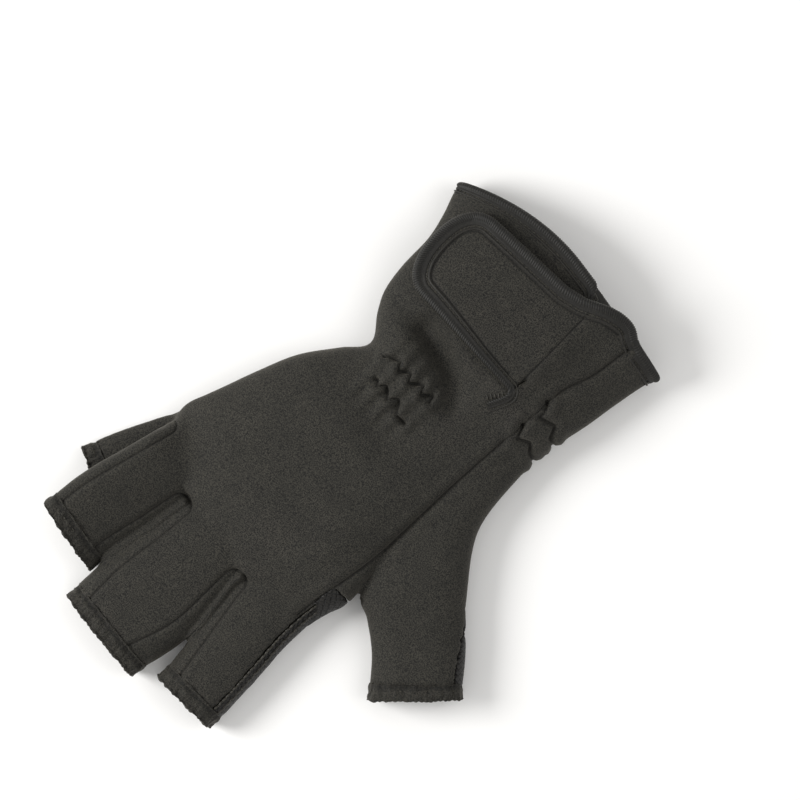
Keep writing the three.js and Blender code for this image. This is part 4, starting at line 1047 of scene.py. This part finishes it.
def tab_tape_places(p, q):
    x = tab_line[:, None, 0] + tab_inward[:, None, 0] * p
    y = tab_line[:, None, 1] + tab_inward[:, None, 1] * p
    beside = y < MIDDLE[1] - TAB_DOWN
    band = hand_top(x, y) + band_rise(x - MIDDLE[0], y - MIDDLE[1])
    upper = np.where(beside & (x < slit_x(y)), band, tab_level(x, y))
    upper = upper + (shell_level(x, y) + 0.3 - upper) * tail_share[:, None]
    return np.stack([x, y, upper - NEOPRENE / 2 + q], -1)


# %% Cuff's part of the tape, with its corner turned in beside the slit
seam_share = (-0.372 * HAND_WIDTH - hand(0.0)["x"]) / hand(0.0)["half"]
cuff_turns = np.linspace(slit_turn(0.0) + 0.03, 4 + turn_at(seam_share), 900)


def wrapped(turn):
    return np.where(turn > 2, turn - 4, turn)


def cuff_line(turn):
    return point(hand, 0.0, wrapped(turn), NEOPRENE / 2)


cuff_arc = lengths_along(cuff_line(cuff_turns))
cuff_samples = np.interp(np.arange(0, cuff_arc[-1], 0.16), cuff_arc, cuff_turns)
cuff_length = np.interp(cuff_samples, cuff_turns, cuff_arc)
turn_in = 5.0 * np.clip(1 - cuff_length / 5.0, 0, 1) ** 2.2


def cuff_places(p, q):
    along = (p + turn_in[:, None]) / HAND_LENGTH
    turn = wrapped(cuff_samples)[:, None] + 0 * p
    return point(hand, along, turn, NEOPRENE / 2 - q)


# %% Both parts as one tape
n_cuff = len(cuff_samples)
cuff_width = 0.93 + 0.07 * ease(np.clip((cuff_length - cuff_length[-1] + 12) / 12, 0, 1))
whole_width = np.r_[cuff_width, tab_width]


def both_parts(p, q):
    return np.concatenate([cuff_places(p[:n_cuff], q[:n_cuff]), tab_tape_places(p[n_cuff:], q[n_cuff:])])


def eased_places(p, q):
    """The cuff's part and the tab's part, eased into each other where they meet."""
    inward = whole_width[:, None] * np.linspace(0, 7.5, 6)
    plain = both_parts(inward, 0 * inward)
    eased = plain.copy()
    soften(eased[n_cuff - 80:n_cuff + 80], 300)
    shift = eased - plain
    at = np.clip(p / whole_width[:, None] / 1.5, 0, 4.999)
    low, part = at.astype(int), (at % 1)[..., None]
    row = np.arange(len(shift))[:, None]
    return both_parts(p, q) + shift[row, low] * (1 - part) + shift[row, low + 1] * part


# %% The flange laid on the cloth
def cloth_gap():
    """How far the cloth under the flange stands above the tape's own layer, along the whole tape."""
    inward = whole_width[:, None] * np.array([3.6, 4.8, 6.0, 7.2])
    spots = eased_places(inward, 0 * inward)
    gap = np.zeros(spots.shape[:2])
    for i in np.ndindex(gap.shape):
        hit, spot, normal, _ = shell.ray_cast((spots[i][0] * MM, spots[i][1] * MM, 0.06), (0, 0, -1))
        off = spot.z / MM - spots[i][2] - NEOPRENE / 2 if hit and normal.z > 0.4 else 0.0
        gap[i] = off if abs(off) < 3.6 else 0.0
    return soften(gap, 50)


bpy.context.view_layer.update()
CLOTH_GAP = cloth_gap()
print("cloth over the tape's layer, mm", CLOTH_GAP.min().round(2), CLOTH_GAP.max().round(2))


def whole_places(p, q):
    """Places on the tape with its flange lying on the cloth."""
    at = np.clip(p / whole_width[:, None] / 1.2, 0, 5.999)
    low, part = at.astype(int), at % 1
    levels = np.c_[0 * CLOTH_GAP[:, 0], 0.2 * CLOTH_GAP[:, 0], 0.7 * CLOTH_GAP[:, 0], CLOTH_GAP]
    row = np.arange(len(levels))[:, None]
    lift = levels[row, low] * (1 - part) + levels[row, low + 1] * part
    places = eased_places(p, q)
    places[..., 2] += lift * (q > 0.5)
    return places


whole_line = np.concatenate([cuff_line(cuff_samples), np.c_[tab_line, np.full(len(tab_line), 20.0)]])
whole_tape = ribbed(whole_places, whole_line, "ribbed_tape_of_cuff_and_tab", whole_width)
finish_piece(whole_tape, ["tab_binding", "cuff_binding"], tape)

# %% [markdown]
# ## Closure pad
# The tab is held by a patch of hook pile that lies between it and the cuff's under layer. Nothing of it
# shows while the tab is closed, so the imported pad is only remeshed, softened at its edges and given pile.

# %% Closure pad
pad = cloth_copy("hook_pad", ["closure_pad"], 0.5)
modify(pad, "SMOOTH", factor=0.5, iterations=3)
finish_piece(pad, ["closure_pad"], pad_pile)

# %% [markdown]
# ## Stitches
# The tapes and the hems are sewn with a doubled polyester thread. One stitch is modelled once, a short
# arched grain of thread, and copied along each row.

# %% One stitch, and rows of it
bpy.ops.object.select_all(action="DESELECT")
bpy.ops.mesh.primitive_uv_sphere_add(segments=8, ring_count=6, radius=1.0)
stitch = bpy.context.active_object
stitch_places = np.array([v.co for v in stitch.data.vertices])
stitch_faces = [list(face.vertices) for face in stitch.data.polygons]
bpy.data.objects.remove(stitch, do_unlink=True)


def sew(name, middles, along, up, length, thick, sink=0.5):
    """Rows of stitches in one piece: middles, directions along the thread and up, all in millimetres."""
    up = up / np.linalg.norm(up, axis=1)[:, None]
    along = along - up * np.sum(along * up, axis=1)[:, None]
    along = along / np.linalg.norm(along, axis=1)[:, None]
    across = np.cross(up, along)
    grain = stitch_places * np.array([length / 2, thick / 2, thick / 2])
    places = (middles[:, None] + grain[None, :, :1] * along[:, None] + grain[None, :, 1:2] * across[:, None]
              + (grain[None, :, 2:] - sink * thick / 2) * up[:, None]).reshape(-1, 3)
    n = len(grain)
    faces = [[v + k * n for v in face] for k in range(len(middles)) for face in stitch_faces]
    finish_piece(new_piece(name, places, faces), [], thread)


# %% The tape's row, on its flange
STITCH_PITCH, STITCH_LINE, STITCH_LEVEL = 2.1, 5.5, 1.2
whole_length = np.r_[cuff_length, cuff_length[-1] + path_length]
print("tape round the cuff", cuff_length[-1].round(1), "mm")
print("tape by the band and the tab", path_length[-1].round(1), "mm")
row_p = STITCH_LINE * whole_width[:, None]
row_low = whole_places(row_p, np.full_like(row_p, STITCH_LEVEL))[:, 0]
row_high = whole_places(row_p, np.full_like(row_p, STITCH_LEVEL + 1.0))[:, 0]
stitch_at = np.arange(STITCH_PITCH, whole_length[-1] - STITCH_PITCH, STITCH_PITCH)
picks = np.searchsorted(whole_length, stitch_at)
sew("stitches_of_tape", row_low[picks], np.gradient(row_low, axis=0)[picks], (row_high - row_low)[picks],
    1.3, 0.5, 0.2)

# %% Five cross stitches that tack the tape's tail at the slit's closed end
steps = np.linspace(0, 1, 5)[:, None]
ladder = SLIT_TIP + np.array([1.2, 2.0]) + steps * np.array([2.6, 5.2])
ladder_z = shell_level(ladder[:, 0], ladder[:, 1]) + 0.3
ladder_along, ladder_up = np.tile([2.2, -1.2, 0.0], (5, 1)), np.tile([0.0, 0, 1], (5, 1))
sew("ladder_stitches", np.c_[ladder, ladder_z], ladder_along, ladder_up, 2.6, 0.5, 0.0)

# %% [markdown]
# ## Side rows
# Along the index finger's side the printed cloth is lapped over the back and held by two rows of coarse
# thread. The rows are found by measuring down the finger's side from the seam, so they stay parallel.

# %% Double row along the index finger's side
SIDE_PITCH = 2.0
side_at = np.linspace(0.12, 1 - HEM_WIDTH / LENGTHS["index"] - 0.01, 240)
side_turns = seam_turn("index", -1)(side_at)[:, None] - np.linspace(0, 0.9, 60)
side_ring = point(TUBES["index"], side_at[:, None] + 0 * side_turns, side_turns)
side_arc = np.cumsum(np.linalg.norm(np.diff(side_ring, axis=1, prepend=side_ring[:, :1]), axis=2), axis=1)
for row_name, below in (("upper", 0.5), ("lower", 3.2)):
    turns = np.array([np.interp(below, arc, turn) for arc, turn in zip(side_arc, side_turns)])
    path = point(TUBES["index"], side_at, turns)
    length = lengths_along(path)
    picks = np.searchsorted(length, np.arange(0.5, length[-1] - 0.5, SIDE_PITCH))
    path[:, 2] += 0.12 * np.sin(1.9 * length)
    off = point(TUBES["index"], side_at, turns, -1.0)
    sew(f"side_stitches_{row_name}", path[picks], np.gradient(path, axis=0)[picks], (off - path)[picks],
        2.9, 0.85, 0.3)

# %% [markdown]
# ## Hems
# Each cut-off finger ends in a turned edge of the same cloth, flush with the finger. A fine row of
# stitches holds it a few millimetres in, and an overlock runs over the very edge.

# %% Turned hem
HEM_PITCH, OVERLOCK_PITCH = 1.9, 1.35


def hem_piece(name):
    """A finger's turned edge: flush with the cloth above it, and drawn in a little at every stitch."""
    hem = cloth_copy("hem_of_" + name, ["hem_" + name], 0.42)
    modify(hem, "SMOOTH", factor=0.5, iterations=4)
    station, start = TUBES[name], 1 - HEM_WIDTH / LENGTHS[name]
    skin = Pattern().add(station, 30, 140, start=start - 0.03, end=1.0).tree()
    draw_to(hem, skin, reach=1.5)
    across = (point(station, start, 1.0) - point(station, start, -1.0))[:2]
    way = np.array([-across[1], across[0]]) / np.linalg.norm(across)
    places = places_of(hem)
    along = (places[:, :2] - point(station, start, places[:, 0] * 0)[:, :2]) @ way
    sink = np.clip(1 - along / 1.4, 0, 1)
    places[:, :2] -= way * (1.7 * sink)[:, None]
    places -= normals_of(hem) * (0.3 * sink)[:, None]
    place(hem, places)
    modify(hem, "SMOOTH", factor=0.5, iterations=3)
    wave = np.sin(2 * np.pi * places[:, :2] @ np.array([way[1], -way[0]]) / HEM_PITCH + 0.6 * places[:, 2])
    knots = np.clip((along - 0.6) / 0.8, 0, 1) * np.exp(-(((places[:, 2] - 9) / 14) ** 4))
    place(hem, places_of(hem) + normals_of(hem) * ((0.28 + 0.13 * wave) * knots)[:, None])
    uneven(hem, 2.6, 0.75, 2.0)
    # Painted shade in the pits along the hem's joint with the finger, darker at every stitch.
    paint_shade(hem, 0.85 * bell((along - 0.7) / 0.4) * (0.7 + 0.3 * wave))
    finish_piece(hem, ["hem_" + name], neoprene)


# %% Rows of a hem: stitches round the finger, and an overlock along the edge
def hem_rows(name):
    station, start = TUBES[name], 1 - HEM_WIDTH / LENGTHS[name]
    turns = np.linspace(-1.98, 1.98, 400)
    arc = lengths_along(point(station, (start + 1) / 2, turns))

    def stitch_row(title, pitch, share, length, thick, lengthwise):
        picks = np.interp(np.arange(0.4, arc[-1], pitch), arc, turns)
        wander = 0.02 * np.sin(np.arange(len(picks)) * 1.7)
        t = start + (1 - start) * (share + wander)
        centre = point(station, t, picks)
        ahead = point(station, t + 0.004, picks) if lengthwise else point(station, t, picks + 0.01)
        off = point(station, t, picks, -1.0)
        sew(f"{title}_{name}", centre, ahead - centre, off - centre, length, thick, 0.7)

    stitch_row("hem_stitches", HEM_PITCH, 0.24, 1.4, 0.5, False)
    stitch_row("hem_overlock", OVERLOCK_PITCH, 0.8, 1.7, 0.42, True)


for name in TUBES:
    hem_piece(name)
    hem_rows(name)

# %% [markdown]
# ## Studio
# A pale floor, a large soft light from above left and the camera straight above, as in the photograph.

# %% Floor
paper, _, paper_shader = new_material("white_paper_sweep")
paper_shader.inputs["Base Color"].default_value = colour("#f4f3f1")
paper_shader.inputs["Roughness"].default_value = 0.9
bpy.ops.object.select_all(action="DESELECT")
bpy.ops.mesh.primitive_plane_add(size=6.0, location=(0, 0, 0))
floor = bpy.context.active_object
floor.name = "floor"
floor.data.materials.append(paper)

# %% Light from the world and from two lamps
world = bpy.data.worlds.new("studio")
bpy.context.scene.world = world
world.use_nodes = True
world.node_tree.nodes["Background"].inputs[0].default_value = colour("#ffffff")
world.node_tree.nodes["Background"].inputs[1].default_value = 0.62
RIGHT, UP = Vector((-0.6, -0.8, 0)), Vector((0.8, -0.6, 0))
PIXEL = 0.38  # millimetres of the glove in one pixel of the photograph
MIDDLE_OF_VIEW = Vector((24 * PIXEL + PHOTO_TO_ROW[0], -68 * PIXEL + PHOTO_TO_ROW[1], 0)) * MM


def lamp(name, right, up, high, size, power):
    data = bpy.data.lights.new(name, "AREA")
    data.shape, data.size, data.energy = "DISK", size, power
    obj = bpy.data.objects.new(name, data)
    bpy.context.scene.collection.objects.link(obj)
    obj.location = MIDDLE_OF_VIEW + RIGHT * right + UP * up + Vector((0, 0, high))
    obj.rotation_mode = "QUATERNION"
    obj.rotation_quaternion = (obj.location - MIDDLE_OF_VIEW).to_track_quat("Z", "Y")
    print(name, power, "W")


lamp("window_light", -1.0, 0.12, 0.7, 0.6, 14)
lamp("fill_light", 0.8, 0.0, 1.0, 0.9, 3)

# %% Camera straight above, turned as in the photograph
lens, sensor, seen_width, seen_level = 200.0, 36.0, 0.304, 0.012
camera_data = bpy.data.cameras.new("camera")
camera_data.lens, camera_data.sensor_width = lens, sensor
camera = bpy.data.objects.new("camera", camera_data)
bpy.context.scene.collection.objects.link(camera)
camera.location = MIDDLE_OF_VIEW + Vector((0, 0, seen_width * lens / sensor + seen_level))
camera.rotation_euler = (0, 0, math.atan2(RIGHT.y, RIGHT.x))
camera_data.clip_end = 10
bpy.context.scene.camera = camera
bpy.context.scene.view_settings.view_transform = "Standard"
print("camera", round(camera.location.z, 3), "m above the floor")
